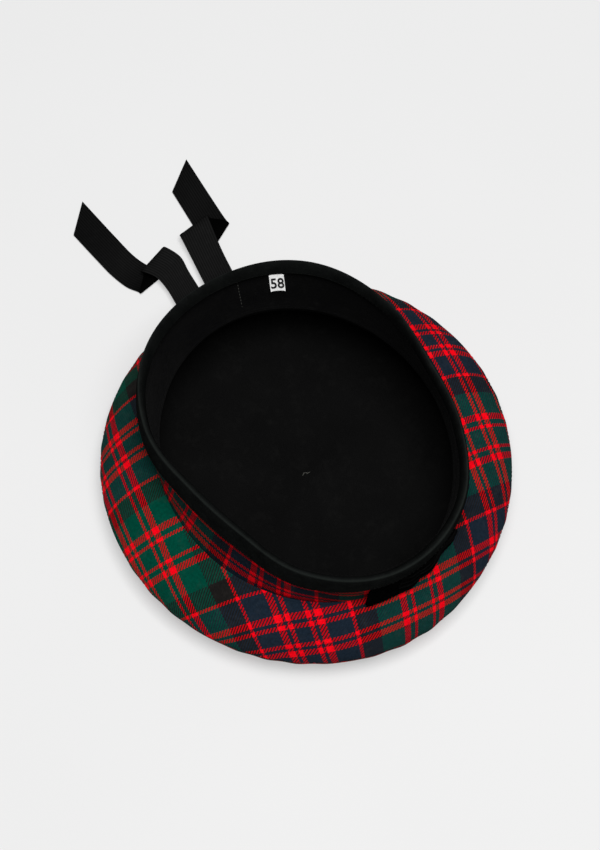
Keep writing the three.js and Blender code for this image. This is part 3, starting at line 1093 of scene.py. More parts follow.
class Stitching:
    """Geometry Nodes tree that lays thread stitches along a guide line."""

    INPUTS = (
        ("Spacing", FLOAT, 0.004),
        ("Length", FLOAT, 0.0025),
        ("Thread Radius", FLOAT, 0.00025),
        ("Rise", FLOAT, 0.0005),
        ("Unevenness", FLOAT, 0.12),
        ("Slant", FLOAT, 0.0),
        ("Seed", "NodeSocketInt", 1),
        ("Thread", "NodeSocketMaterial", None),
    )
    BOW_STEPS = 5
    THREAD_SIDES = 6

    def __init__(self) -> None:
        """Builds the tree and keeps the identifiers of its inputs."""
        self.tree = bpy.data.node_groups.new("running_stitch", "GeometryNodeTree")
        face = self.tree.interface
        face.new_socket(name="Guide", in_out="INPUT", socket_type="NodeSocketGeometry")
        self.identifiers: dict[str, str] = {}
        for name, kind, value in self.INPUTS:
            socket = face.new_socket(name=name, in_out="INPUT", socket_type=kind)
            if value is not None:
                socket.default_value = value
            self.identifiers[name] = socket.identifier
        face.new_socket(name="Stitches", in_out="OUTPUT", socket_type="NodeSocketGeometry")
        self.fill()

    def fill(self) -> None:
        """Adds the nodes: a bowed thread, placed along the guide and turned to its outward side."""
        w = Wiring(self.tree)
        given = w.add("NodeGroupInput").outputs

        half = w.math("MULTIPLY", given["Length"], 0.5)
        bow = w.fed("GeometryNodeCurveQuadraticBezier", {
            "Resolution": self.BOW_STEPS,
            "Start": w.combine(w.math("MULTIPLY", half, -1.0)),
            "Middle": w.combine(0.0, 0.0, w.math("MULTIPLY", given["Rise"], 2.0)),
            "End": w.combine(half),
        })
        ring = w.fed("GeometryNodeCurvePrimitiveCircle",
                     {"Resolution": self.THREAD_SIDES, "Radius": given["Thread Radius"]})
        tube = w.fed("GeometryNodeCurveToMesh", {
            "Curve": bow.outputs[0],
            "Profile Curve": ring.outputs[0],
            "Fill Caps": True,
        })

        line = w.fed("GeometryNodeMeshToCurve", (given["Guide"],))
        places = w.fed("GeometryNodeCurveToPoints",
                       {"Curve": line.outputs[0], "Length": given["Spacing"]}, mode="LENGTH")
        outward = w.fed("GeometryNodeInputNamedAttribute", {"Name": "outward"},
                        data_type="FLOAT_VECTOR")
        ahead = w.fed("FunctionNodeAlignRotationToVector",
                      {"Vector": places.outputs["Tangent"]}, axis="X")
        upright = w.fed("FunctionNodeAlignRotationToVector",
                        {"Rotation": ahead.outputs[0], "Vector": outward.outputs["Attribute"]},
                        axis="Z", pivot_axis="X")

        number = w.add("GeometryNodeInputIndex").outputs[0]
        less = w.math("MULTIPLY", given["Unevenness"], -1.0)

        def chance(shift: int) -> Socket:
            """Random unevenness of each stitch, from the seed and a shift."""
            seed = w.math("ADD", given["Seed"], float(shift))
            values = {2: less, 3: given["Unevenness"], "ID": number, "Seed": seed}
            return w.fed("FunctionNodeRandomValue", values, data_type="FLOAT").outputs[1]

        yaw = w.combine(0.0, 0.0, w.math("ADD", given["Slant"], chance(0)))
        turn = w.fed("FunctionNodeEulerToRotation", (yaw,))
        turned = w.fed("FunctionNodeRotateRotation", (upright.outputs[0], turn.outputs[0]),
                       rotation_space="LOCAL")
        placed = w.fed("GeometryNodeInstanceOnPoints", {
            "Points": places.outputs["Points"],
            "Instance": tube.outputs[0],
            "Rotation": turned.outputs[0],
            "Scale": w.combine(w.math("ADD", 1.0, chance(7)), 1.0, 1.0),
        })
        real = w.fed("GeometryNodeRealizeInstances", (placed.outputs[0],))
        smooth = w.fed("GeometryNodeSetShadeSmooth", (real.outputs[0],))
        painted = w.fed("GeometryNodeSetMaterial",
                        {"Geometry": smooth.outputs[0], "Material": given["Thread"]})
        w.fed("NodeGroupOutput", (painted.outputs[0],))

    def sew(self, name: str, line: np.ndarray, outward: np.ndarray, thread: Material,
            closed: bool = False, **sizes: float) -> Piece:
        """Sews one row of stitches and dresses it.

        Args:
            name: Name of the piece.
            line: Points of the guide line, in millimetres.
            outward: Direction away from the cloth at each point.
            thread: Material of the thread.
            closed: Whether the line goes all the way round.
            sizes: Inputs of the tree by name, with _ for a space.

        Returns:
            The stitches as one plain mesh object.
        """
        count = len(line)
        guide = bpy.data.meshes.new(name + "_guide")
        edges = [(k, k + 1) for k in range(count - 1)]
        if closed:
            edges.append((count - 1, 0))
        guide.from_pydata((line * METRES).tolist(), edges, [])
        attribute = guide.attributes.new("outward", "FLOAT_VECTOR", "POINT")
        attribute.data.foreach_set("vector", np.asarray(outward, float).ravel())
        holder = new_object(name + "_guide", guide)
        modifier = holder.modifiers.new("stitches", "NODES")
        modifier.node_group = self.tree
        for key, value in sizes.items():
            modifier[self.identifiers[key.replace("_", " ")]] = value
        modifier[self.identifiers["Thread"]] = thread
        made = new_object(name, plain_mesh(holder, name))
        holder.modifiers.clear()
        bpy.data.objects.remove(holder)
        bpy.data.meshes.remove(guide)
        return dress(made, thread, None)


# ---- Crown and band ---------------------------------------------------------------------


@dataclass
class BandShape:
    """Plan and height of the band, in millimetres, with a station every 30 degrees."""

    half_width: float = 85.3
    half_length: float = 97.0
    base: float = 44.0
    waist_level: float = 64.0
    rim_level: float = 82.0
    waist: tuple[float, ...] = (
        83.2, 90.0, 99.0, 103.0, 101.0, 92.5, 77.8, 76.6, 89.8, 98.8, 97.4, 87.6)
    rim: tuple[float, ...] = (
        82.0, 92.2, 105.0, 107.9, 105.8, 92.5, 76.5, 75.7, 90.2, 102.0, 100.1, 88.3)

    def base_radius(self, degrees: np.ndarray) -> np.ndarray:
        """Finds the radius of the base's ellipse.

        Args:
            degrees: Angles round the bonnet.

        Returns:
            The radius at each angle.
        """
        angle = np.radians(degrees)
        reach = np.hypot(self.half_length * np.cos(angle), self.half_width * np.sin(angle))
        return self.half_width * self.half_length / reach

    def around(self, column: tuple[float, ...], degrees: np.ndarray) -> np.ndarray:
        """Draws a smooth closed curve through one column of stations.

        Args:
            column: A value every so many degrees, equally spaced, from 0 on.
            degrees: Angles round the bonnet.

        Returns:
            The curve's value at each angle.
        """
        values = np.array(column)
        place = np.mod(np.asarray(degrees, float), 360.0) / (360.0 / len(values))
        first = np.floor(place).astype(int)
        t = place - first
        row = [values[(first + k) % len(values)] for k in (-1, 0, 1, 2)]
        slope_in = (row[2] - row[0]) / 2
        slope_out = (row[3] - row[1]) / 2
        rise = row[2] - row[1]
        square = 3 * rise - 2 * slope_in - slope_out
        cube = slope_in + slope_out - 2 * rise
        return row[1] + t * (slope_in + t * (square + t * cube))

    def radius(self, degrees: np.ndarray, height: np.ndarray) -> np.ndarray:
        """Finds the radius of the band's outer face, on a curve through base, waist and rim.

        Args:
            degrees: Angles round the bonnet.
            height: Heights above the floor.

        Returns:
            The radius at each place.
        """
        levels = (self.base, self.waist_level, self.rim_level)
        radii = (self.base_radius(degrees), self.around(self.waist, degrees),
                 self.around(self.rim, degrees))
        total = 0.0
        for level, radius in zip(levels, radii):
            weight = 1.0
            for other in levels:
                if other != level:
                    weight = weight * (height - other) / (level - other)
            total = total + radius * weight
        return total

    def point(self, degrees: np.ndarray, height: np.ndarray, inward: float = 0.0) -> np.ndarray:
        """Gives a point on the band, at a depth in from its outer face."""
        height = np.asarray(height, float)
        return around_axis(self.radius(degrees, height) - inward, degrees, height)

    def path(self, degrees: np.ndarray, rows: np.ndarray) -> np.ndarray:
        """Carries a path round the band.

        Args:
            degrees: Angles of the stations.
            rows: The path as (inward, height) rows.

        Returns:
            The path by rows and stations of (radius, height).
        """
        inward, height = rows[:, 0:1], rows[:, 1:2]
        radius = self.radius(degrees[None, :], height) - inward
        return np.stack([radius, np.broadcast_to(height, radius.shape)], axis=-1)


BAND = BandShape()
SEWING_ANGLES = np.arange(0, 360, 1.5)      # points of a guide line that goes all the way round


def outward_from_axis(points: np.ndarray, lift: float = 0.0) -> np.ndarray:
    """Gives unit directions away from the bonnet's axis.

    Args:
        points: Points on the bonnet.
        lift: How far each direction is tipped up, as a share.

    Returns:
        The directions.
    """
    flat = points * np.array([1.0, 1.0, 0.0])
    flat = flat / np.linalg.norm(flat, axis=-1, keepdims=True)
    tipped = flat + np.array([0.0, 0.0, lift])
    return tipped / np.linalg.norm(tipped, axis=-1, keepdims=True)


@dataclass(frozen=True)
class RingPull:
    """How the underside's cloth is pulled out of its flat cut, in millimetres of cloth."""

    turn: float = 6.5              # degrees that the cloth is turned on the bonnet
    reach: float = 122.0           # the edge's distance from the middle of the cut
    shift: tuple[float, float] = (-23.5, 20.1)
    half_repeat: tuple[float, float] = (63.3, 64.5)    # across and along, as pulled
    sag: float = 11.5              # how far the cloth slips along, to the right of sag_middle
    sag_middle: float = -42.0
    sag_width: float = 11.0
    lift: float = 2.5              # how far it comes back to the right of lift_start
    lift_start: float = 35.0
    lift_run: float = 60.0
    lean: float = 0.08             # share that the front leans over, past lean_start
    lean_start: float = -70.0

    def pulled(self, flat: np.ndarray) -> tuple[np.ndarray, np.ndarray]:
        """Pulls the flat cloth.

        Args:
            flat: Cloth coordinates of the flat cut.

        Returns:
            The coordinates across and along, counted from a green pivot of the sett.
        """
        across, along = flat[..., 0], flat[..., 1]
        sag = self.sag / (1 + np.exp(-(across - self.sag_middle) / self.sag_width))
        lift = self.lift * np.clip((across - self.lift_start) / self.lift_run, 0, 1)
        lean = self.lean * np.clip(self.lean_start - along, 0, None)
        return ((across + lean + self.shift[0]) * HALF_REPEAT / self.half_repeat[0],
                (along + sag - lift + self.shift[1]) * HALF_REPEAT / self.half_repeat[1])


@dataclass
class Crown:
    """Flat tartan crown, its turned-up edge and the ring of its underside."""

    radius: float = 120.8
    flat_radius: float = 94.0      # the top lies flat on the floor up to here
    edge: float = 19.0
    wall: float = 1.6
    gap: float = 0.3
    puckers: Table = (             # height, count round the crown, phase
        (0.6, 38, 0.7), (0.4, 47, 2.1),
    )
    top_pucker: tuple[float, float] = (100.0, 0.35)    # radius where they start, depth
    ring_pucker: tuple[float, float] = (112.0, 0.3)
    top_turn: float = 21.0         # degrees that the top's cloth is turned on the bonnet
    top_shift: tuple[float, float] = (9.0, -13.0)
    sweep: Sweep = field(default_factory=lambda: Sweep(360))
    pull: RingPull = RingPull()
    top_profile: Table = (         # radius, height
        (6, 0), (40, 0), (94, 0), (104, 1.2), (112, 4.6), (117.4, 9.6), (120.2, 14.8),
        (120.8, 18.85),
    )
    ring_profile: Table = (        # share of the way out, share of the way down
        (0.0, 0.0), (0.25, 0.1), (0.5, 0.26), (0.72, 0.47), (0.88, 0.7), (0.97, 0.88), (1.0, 1.0),
    )
    edge_shift: tuple[float, ...] = (
        2.0, 2.6, 2.2, 2.0, 2.2, 0.6, -1.6, -2.0, -0.4, 1.9, 0.5, 0.6)
    puff: tuple[float, ...] = (0.0, 0.0, 0.0, 0.0, 0.0, 0.0, 0.9, 3.2, 3.6, 0.8, 0.0, 0.0)
    puff_width: float = 11.0
    clear_room: float = 0.5        # how far the puffed cloth stands clear of the band, past a wall
    clear_share: float = 0.05      # share of the way out where it has come back
    ease: Table = (                # each 30 degrees: across and along by the band, then by the edge
        (-4.5, -0.3, -6.0, 0.7),
        (-2.4, -1.0, -3.5, -1.7),
        (-1.0, -0.4, -1.0, -0.4),
        (-0.6, -0.2, -0.6, -0.2),
        (-0.7, -0.2, -0.1, -0.1),
        (-0.1, 0.7, 0.4, 1.5),
        (-0.4, 0.2, 0.1, 0.4),
        (0.9, 0.8, 1.5, 0.5),
        (-0.3, 2.0, 0.1, 4.2),
        (-3.1, 1.5, -2.7, 2.1),
        (0.0, 0.4, -0.5, 1.2),
        (-2.0, 0.1, -4.5, 0.7),
    )
    ease_start: float = 98.0       # radius where the ease by the band holds
    ease_run: float = 16.0         # from there to the ease by the edge
    thread_sink: float = 0.35      # how deep the edge seam's thread lies in the cloth

    def top(self, tartan: Material) -> Piece:
        """Makes the crown's top, a shallow dish of cloth from its middle to the edge seam.

        Args:
            tartan: Its finish.

        Returns:
            The piece.
        """
        degrees = self.sweep.angles()
        profile = smooth_path(self.top_profile)
        path = np.repeat(profile[:, None, :], len(degrees), axis=1)
        rim = self.radius - self.flat_radius
        outer = np.clip((path[..., 0] - self.flat_radius) / rim, 0, 1)
        path[..., 0] += outer * BAND.around(self.edge_shift, degrees)[None, :]
        path = self.pucker(path, degrees, *self.top_pucker)
        piece = self.sweep.dish("crown_top_cloth", path, self.wall, self.top_turn, self.top_shift)
        return dress(piece, tartan, Slot.TARTAN, "crown_top")

    def pucker(self, path: np.ndarray, degrees: np.ndarray, start: float,
               depth: float) -> np.ndarray:
        """Draws the cloth in a little between stitches, more towards the edge seam.

        Args:
            path: Rows by stations by (radius, height).
            degrees: Angles of the stations.
            start: Radius where the puckers start.
            depth: Their depth at the edge seam.

        Returns:
            The path, drawn in.
        """
        angle = np.radians(degrees)[None, :]
        near = np.clip((path[..., 0] - start) / (self.radius - start), 0, 1) ** 2
        moved = path.copy()
        moved[..., 0] += near * depth * (ripples(self.puckers, angle) - 0.6)
        return moved

    def ring_cloth(self, left: np.ndarray, degrees: np.ndarray) -> np.ndarray:
        """Finds the cloth coordinates of the underside's ring.

        Args:
            left: Distance still to go to the edge seam, by row and station.
            degrees: Angles of the stations.

        Returns:
            The coordinates, with one station more.
        """
        flat = flat_cloth(self.pull.reach - left, degrees, self.pull.turn)
        across, along = self.pull.pulled(flat)
        left = np.hstack([left, left[:, :1]])
        near = np.clip((self.radius - left - self.ease_start) / self.ease_run, -0.5, 1.4)
        stations = np.append(degrees, 360.0)
        columns = [BAND.around(column, stations)[None, :] for column in zip(*self.ease)]
        across = across + columns[0] * (1 - near) + columns[2] * near
        along = along + columns[1] * (1 - near) + columns[3] * near
        return np.stack([across, along], axis=-1)

    def underside(self, tartan: Material) -> Piece:
        """Makes the ring of cloth from the edge seam up to the band.

        Args:
            tartan: Its finish.

        Returns:
            The piece.
        """
        degrees = self.sweep.angles()
        table = smooth_path(self.ring_profile)
        base = BAND.base_radius(degrees) - self.wall
        drop = BAND.base - self.edge - self.gap / 2
        out = table[:, 0:1]
        radius = base[None, :] + out * (self.radius - base)[None, :]
        height = np.broadcast_to(BAND.base - table[:, 1:2] * drop, radius.shape)
        run = run_length(np.stack([radius, height], axis=-1))
        shift = out * BAND.around(self.edge_shift, degrees)[None, :]
        puff = BAND.around(self.puff, degrees)[None, :]
        near = np.exp(-(out * (self.radius - base)[None, :] / self.puff_width) ** 2)
        clear = np.clip(puff, 0, 1) * (self.wall + self.clear_room)
        clear = clear * np.exp(-(out / self.clear_share) ** 2)
        path = np.stack([radius + shift + clear, height + puff * near], axis=-1)
        path = self.pucker(path, degrees, *self.ring_pucker)
        outline = walled(path[::-1], self.wall, ends=1)
        left = (run[-1:] - run - shift - clear)[::-1]
        half = self.wall / 2
        whole = np.concatenate([left, left[-1:] + half, left[::-1], left[:1] - half])
        cloth = self.ring_cloth(whole, degrees)
        piece = self.sweep.ring("crown_underside_cloth", outline, cloth)
        return dress(piece, tartan, Slot.TARTAN, "crown_underside")

    def build(self, stitching: Stitching, thread: Material) -> None:
        """Builds and dresses the crown's pieces, the top in a darker copy of the tartan as painted
        shade.

        Args:
            stitching: The stitch maker.
            thread: The edge seam's thread.
        """
        # Painted shade: the top's tartan is a darker copy, for the shade under the crown's edge.
        self.top(TartanCloth("tartan_top_wool_painted_shade", tone=0.5).build())
        self.underside(TartanCloth().build())
        edge = self.radius + BAND.around(self.edge_shift, SEWING_ANGLES) - self.thread_sink
        line = around_axis(edge, SEWING_ANGLES, self.edge)
        stitching.sew("edge_seam_stitches", line, outward_from_axis(line), thread, closed=True,
                      Spacing=0.0028, Length=0.0021, Thread_Radius=0.00014, Rise=0.00012, Seed=3)


@dataclass
class Band:
    """Everything that stands up round the head: tartan, binding, sweatband and their sewing."""

    cloth_wall: float = 1.6
    gap: float = 0.3
    foot: float = 44.3
    headband_top: float = 73.0     # both walls end inside the binding's fold
    sweatband_top: float = 76.0
    sweatband_foot: float = 44.5
    foot_room: float = 0.7         # extra depth of the sweatband where the band flares at its foot
    hem_top: float = 47.2          # height of the sweatband's turned hem
    foot_seam: float = 46.2        # height of the stitches along it
    strip_middle: float = 363.0    # distance round the band to a blue pivot of its strip
    strip_stretch: float = 1.075
    strip_line: float = 60.5       # height of the strip's upper red line
    strip_line_place: float = -5.3     # the line's place on the cloth, from the blue pivot
    strip_squeeze: float = 1.34
    dip: float = 6.5               # how far the strip dips towards the cockade
    dip_start: float = 386.0       # distance round the band where it starts to dip
    dip_run: float = 30.0
    rim_wave_foot: float = 60.0    # the rim's rise and fall starts here
    rim_wave_run: float = 22.0
    rim_waves: Table = ((0.18, 5, 1.0), (0.1, 11, 0.4))
    wrinkle_waves: Table = ((0.3, 17, 0.6), (0.2, 29, 2.0))
    wrinkle_depth: float = 0.4
    slack_angle: float = 192.0     # where the sweatband is at its slackest
    slack_width: float = 14.0
    slack_folds: float = 48.0      # folds in a full turn
    slack_depth: float = 1.5
    hem_extra: float = 0.3         # extra thickness of the hem
    hem_edge: float = 0.15
    seam_depth: float = 0.18       # how deep the stitches draw it in
    seam_width: float = 0.35
    drawn_row: int = 3             # row of the fold, from each end, that its stitches draw in
    drawn_width: float = 1.4
    drawn_depth: float = 0.22
    inner_seam: tuple[float, float] = (76.4, 5.3)      # height, inward
    outer_seam: tuple[float, float] = (65.2, -1.5)
    sweatband_face: float = 3.05   # inward depth of the sweatband's seams
    join_angle: float = 83.2       # where the sweatband's two ends meet
    join_heights: tuple[float, float] = (50.0, 73.0)
    join_points: int = 24
    fold: Table = (                # inward, height
        (-1.4, 64.0), (-1.5, 68.0), (-1.3, 72.0), (-0.8, 76.0), (0.0, 79.0), (1.0, 81.2),
        (2.1, 82.1), (3.1, 81.5), (3.9, 79.8), (4.4, 77.6), (4.7, 75.2),
    )
    sweep: Sweep = field(default_factory=lambda: Sweep(300))

    def wall_piece(self, name: str, rows: np.ndarray, wall: float | np.ndarray,
                   striped: bool = False, waves: float = 0.0) -> Piece:
        """Sweeps a wall of cloth round the band.

        Args:
            name: Name of the piece.
            rows: Inward depth and height of its outer face, listed so that the wall is on the left.
            wall: Thickness of the cloth, one number or one a row.
            striped: Whether its cloth coordinates follow the tartan strip.
            waves: Depth of the soft upright wrinkles, greatest where the band is slack.

        Returns:
            The piece.
        """
        degrees = self.sweep.angles()
        path = self.uneven(BAND.path(degrees, rows), degrees)
        path[..., 0] -= waves * self.wrinkles(degrees)[None, :]
        outline = walled(path, wall)
        along = self.around_length()
        if striped:
            height = np.hstack([outline[..., 1], outline[:, :1, 1]])
            cloth = self.strip_cloth(along, height)
        else:
            run = run_length(path).mean(axis=1)
            extra = (len(outline) - 2 * len(path)) // 2
            across = np.concatenate(
                [run, np.full(extra, run[-1]), run[::-1], np.full(extra, run[0])])
            cloth = np.stack(np.broadcast_arrays(along[None, :], across[:, None]), axis=-1)
        return self.sweep.ring(name, outline, cloth)

    def uneven(self, path: np.ndarray, degrees: np.ndarray) -> np.ndarray:
        """Lets the soft rim rise and fall a little on its way round.

        Args:
            path: Rows by stations by (radius, height).
            degrees: Angles of the stations.

        Returns:
            The path, moved.
        """
        angle = np.radians(degrees)[None, :]
        high = np.clip((path[..., 1] - self.rim_wave_foot) / self.rim_wave_run, 0, 1)
        moved = path.copy()
        moved[..., 1] += high * ripples(self.rim_waves, angle)
        return moved

    def wrinkles(self, degrees: np.ndarray) -> np.ndarray:
        """Shapes soft upright wrinkles round the band.

        Args:
            degrees: Angles of the stations.

        Returns:
            Their heights, from 0 to about 2.
        """
        ripple = 0.5 + ripples(self.wrinkle_waves, np.radians(degrees))
        away = degrees - self.slack_angle
        slack = np.exp(-(away / self.slack_width) ** 2)
        folds = 0.5 + 0.5 * np.cos(np.radians(away) * self.slack_folds)
        return self.wrinkle_depth * ripple + slack * folds * self.slack_depth

    def strip_cloth(self, along: np.ndarray, height: np.ndarray) -> np.ndarray:
        """Finds the cloth coordinates of the tartan strip, which dips towards the cockade.

        Args:
            along: Distance round the band at each station.
            height: Height of each point, by row and station.

        Returns:
            The coordinates, around and across the strip.
        """
        way = np.clip((along - self.dip_start) / self.dip_run, 0, 1)
        dip = self.dip * way * way * (3 - 2 * way)
        across = ((self.strip_line - height - dip[None, :]) * self.strip_squeeze
                  + self.strip_line_place + HALF_REPEAT)
        around = (along - self.strip_middle) / self.strip_stretch + HALF_REPEAT
        return np.stack(np.broadcast_arrays(around[None, :], across), axis=-1)

    def around_length(self) -> np.ndarray:
        """Distance run round the band's middle at each station, and back to the first."""
        degrees = np.append(self.sweep.angles(), 360.0)
        return run_length(BAND.point(degrees, 60.0))

    def headband(self, tartan: Material) -> Piece:
        """Makes the tartan band.

        Args:
            tartan: Its finish.

        Returns:
            The piece.
        """
        heights = np.linspace(self.foot + 0.8, self.headband_top, 22)
        rows = np.stack([0 * heights, heights], axis=-1)
        piece = self.wall_piece("headband_cloth", rows, self.cloth_wall, striped=True)
        return dress(piece, tartan, Slot.TARTAN, "headband")

    def binding(self, felt: Material) -> Piece:
        """Makes the black binding folded over the rim, drawn in by the stitches at its two edges.

        Args:
            felt: Its finish.

        Returns:
            The piece.
        """
        rows = smooth_path(self.fold)
        order = np.arange(len(rows))
        last = len(rows) - 1
        drawn = sum(np.exp(-((order - row) / self.drawn_width) ** 2)
                    for row in (self.drawn_row, last - self.drawn_row))
        piece = self.wall_piece("rim_binding_felt", rows, 1.0 - self.drawn_depth * drawn)
        return dress(piece, felt, Slot.BLACK_WOOL, "rim_binding")

    def sweatband(self, smooth: Material) -> Piece:
        """Makes the smooth inner band, with a stitched hem at its foot.

        Args:
            smooth: Its finish.

        Returns:
            The piece.
        """
        heights = np.concatenate([np.linspace(self.sweatband_foot + 0.6, 48.0, 12),
                                  np.linspace(49.0, self.sweatband_top, 20)])
        flare = self.foot_room * np.clip((54.0 - heights) / 6.0, 0, 1)
        rows = np.stack([self.cloth_wall + self.gap + flare, heights], axis=-1)
        hem = self.hem_extra / (1 + np.exp((heights - self.hem_top) / self.hem_edge))
        seam = self.seam_depth * np.exp(-((heights - self.foot_seam) / self.seam_width) ** 2)
        piece = self.wall_piece("sweatband_strip", rows, 1.0 + hem - seam, waves=0.3)
        return dress(piece, smooth, Slot.SWEATBAND, "sweatband")

    def sewing(self, stitching: Stitching, pale: Material, dark: Material) -> None:
        """Sews the binding's two edges, the sweatband's foot and its join.

        Args:
            stitching: The stitch maker.
            pale: The join's thread.
            dark: The other rows' thread.
        """
        face = BAND.point(SEWING_ANGLES, *self.inner_seam)
        stitching.sew("binding_inner_stitches", face, -outward_from_axis(face), dark, closed=True,
                      Spacing=0.0026, Length=0.0013, Thread_Radius=0.00012, Rise=0.00008, Seed=5)
        face = BAND.point(SEWING_ANGLES, *self.outer_seam)
        outward = outward_from_axis(face, 0.2)
        stitching.sew("binding_outer_stitches", face, outward, dark, closed=True,
                      Spacing=0.0027, Length=0.0012, Thread_Radius=0.00014, Rise=0.00014, Seed=8)
        face = BAND.point(SEWING_ANGLES, self.foot_seam, self.sweatband_face + self.foot_room)
        stitching.sew("sweatband_foot_stitches", face, -outward_from_axis(face), dark, closed=True,
                      Spacing=0.0026, Length=0.0012, Thread_Radius=0.00015, Rise=0.00014, Seed=9)
        heights = np.linspace(*self.join_heights, self.join_points)
        face = BAND.point(np.full_like(heights, self.join_angle), heights, self.sweatband_face)
        stitching.sew("sweatband_join_stitches", face, -outward_from_axis(face), pale,
                      Spacing=0.0024, Length=0.0013, Thread_Radius=0.00013, Rise=0.0001, Seed=12)


@dataclass
class Lining:
    """Black lining bag inside the crown, with a thread tack in its middle."""

    wall: float = 1.0
    neck_room: float = 2.1         # from the band's outer face to the bag's neck
    profile: Table = (             # share of radius that counts, radius, height
        (1, 8, 2.1), (1, 50, 2.3), (1, 88, 2.6), (1, 99, 5.4), (1, 106, 12), (1, 108.5, 21),
        (1, 106.5, 29), (0.75, 107, 34.8), (0.4, 107, 39.0), (0, 107, 41.9), (0, 107, 44.0),
    )
    tack_line: Table = ((-0.6, 2.1, 3.2), (0.4, 2.2, 3.4), (1.4, 1.8, 3.4), (2.2, 1.3, 3.2))
    sweep: Sweep = field(default_factory=lambda: Sweep(300))

    def bag(self, cloth: Material) -> Piece:
        """Makes the bag, round in the crown and as oval as the band at its neck.

        Args:
            cloth: Its finish.

        Returns:
            The piece.
        """
        table = smooth_path(self.profile)
        neck = BAND.base_radius(self.sweep.angles()) - self.neck_room
        blend, radius, height = table[:, 0:1], table[:, 1:2], table[:, 2:3]
        radii = neck[None, :] * (1 - blend) + radius * blend
        path = np.stack([radii, np.broadcast_to(height, radii.shape)], axis=-1)
        piece = self.sweep.dish("lining_bag", path, self.wall)
        return dress(piece, cloth, Slot.LINING, "lining")

    def tack(self, stitching: Stitching, pale: Material) -> None:
        """Sews the small pale tack that holds the bag to the crown.

        Args:
            stitching: The stitch maker.
            pale: Its thread.
        """
        line = np.array(self.tack_line)
        up = np.tile([0.0, 0.0, 1.0], (len(line), 1))
        stitching.sew("lining_tack", line, up, pale, Spacing=0.0012, Length=0.0019,
                      Thread_Radius=0.00013, Rise=0.0003, Slant=0.3, Unevenness=0.45, Seed=4)


@dataclass
class SizeLabel:
    """Small white tape with the head size, on the inside of the band at the back."""

    size_text: str = "58"
    angle: float = 70.0
    width: float = 9.0
    foot: float = 61.2
    top: float = 73.6
    turn: float = 0.2              # degrees that the tape leans from foot to top
    depth: float = 3.4
    thickness: float = 0.7
    curl: float = 0.5              # lift of the corners
    text_size: float = 11.6
    text_weight: float = 0.2       # how much the strokes are thickened
    text_height: float = 0.1       # half of how far the figures stand out
    text_narrow: float = 0.74
    text_squat: float = 0.96
    text_drop: float = 0.5
    text_lift: float = 0.12        # from the tape's face to the figures' middle

    def place(self, across: np.ndarray, up: np.ndarray, off: float | np.ndarray) -> np.ndarray:
        """Puts flat points on the curved band.

        Args:
            across: Distance to the side of the label's middle.
            up: Distance above it.
            off: Distance off the sweatband.

        Returns:
            The points.
        """
        height = (self.foot + self.top) / 2 + up
        radius = BAND.radius(np.full_like(height, self.angle), height)
        lean = self.turn * up / (self.top - self.foot)
        degrees = self.angle + lean - np.degrees(across / radius)
        return BAND.point(degrees, height, self.depth + off)

    def tape(self, finish: Material) -> Piece:
        """Makes the tape, slightly lifted at its corners.

        Args:
            finish: Its material.

        Returns:
            The piece.
        """
        half_width = self.width / 2
        half_height = (self.top - self.foot) / 2
        across, up = np.meshgrid(np.linspace(-half_width, half_width, 13),
                                 np.linspace(-half_height, half_height, 19))
        curl = self.curl * (np.abs(across) / half_width) ** 4 * (np.abs(up) / half_height) ** 2
        front = self.place(across, up, self.thickness + curl)
        cloth = np.stack([across, up], axis=-1)
        piece = thin_piece("size_label_tape", front, self.place(across, up, curl), cloth)
        return dress(piece, finish, Slot.LABEL, "size_label")

    def figures(self, ink: Material) -> Piece:
        """Makes the two figures of the head size as thin raised weaving.

        Args:
            ink: Their material.

        Returns:
            The piece.
        """
        text = bpy.data.curves.new("label_figures_text", "FONT")
        text.body = self.size_text
        text.size = self.text_size
        text.offset = self.text_weight
        text.extrude = self.text_height
        text.resolution_u = 4
        text.align_x = "CENTER"
        text.align_y = "CENTER"
        holder = new_object("label_figures_text", text)
        mesh = plain_mesh(holder, "size_label_figures")
        flat = np.empty(len(mesh.vertices) * 3)
        mesh.vertices.foreach_get("co", flat)
        x, y, z = flat.reshape(-1, 3).T
        placed = self.place(x * self.text_narrow, y * self.text_squat - self.text_drop,
                            self.thickness + self.text_lift + z)
        mesh.vertices.foreach_set("co", (placed * METRES).ravel())
        mesh.update()
        bpy.data.objects.remove(holder)
        return dress(new_object("size_label_figures", mesh), ink, Slot.LABEL)


# ---- Ribbons ----------------------------------------------------------------------------


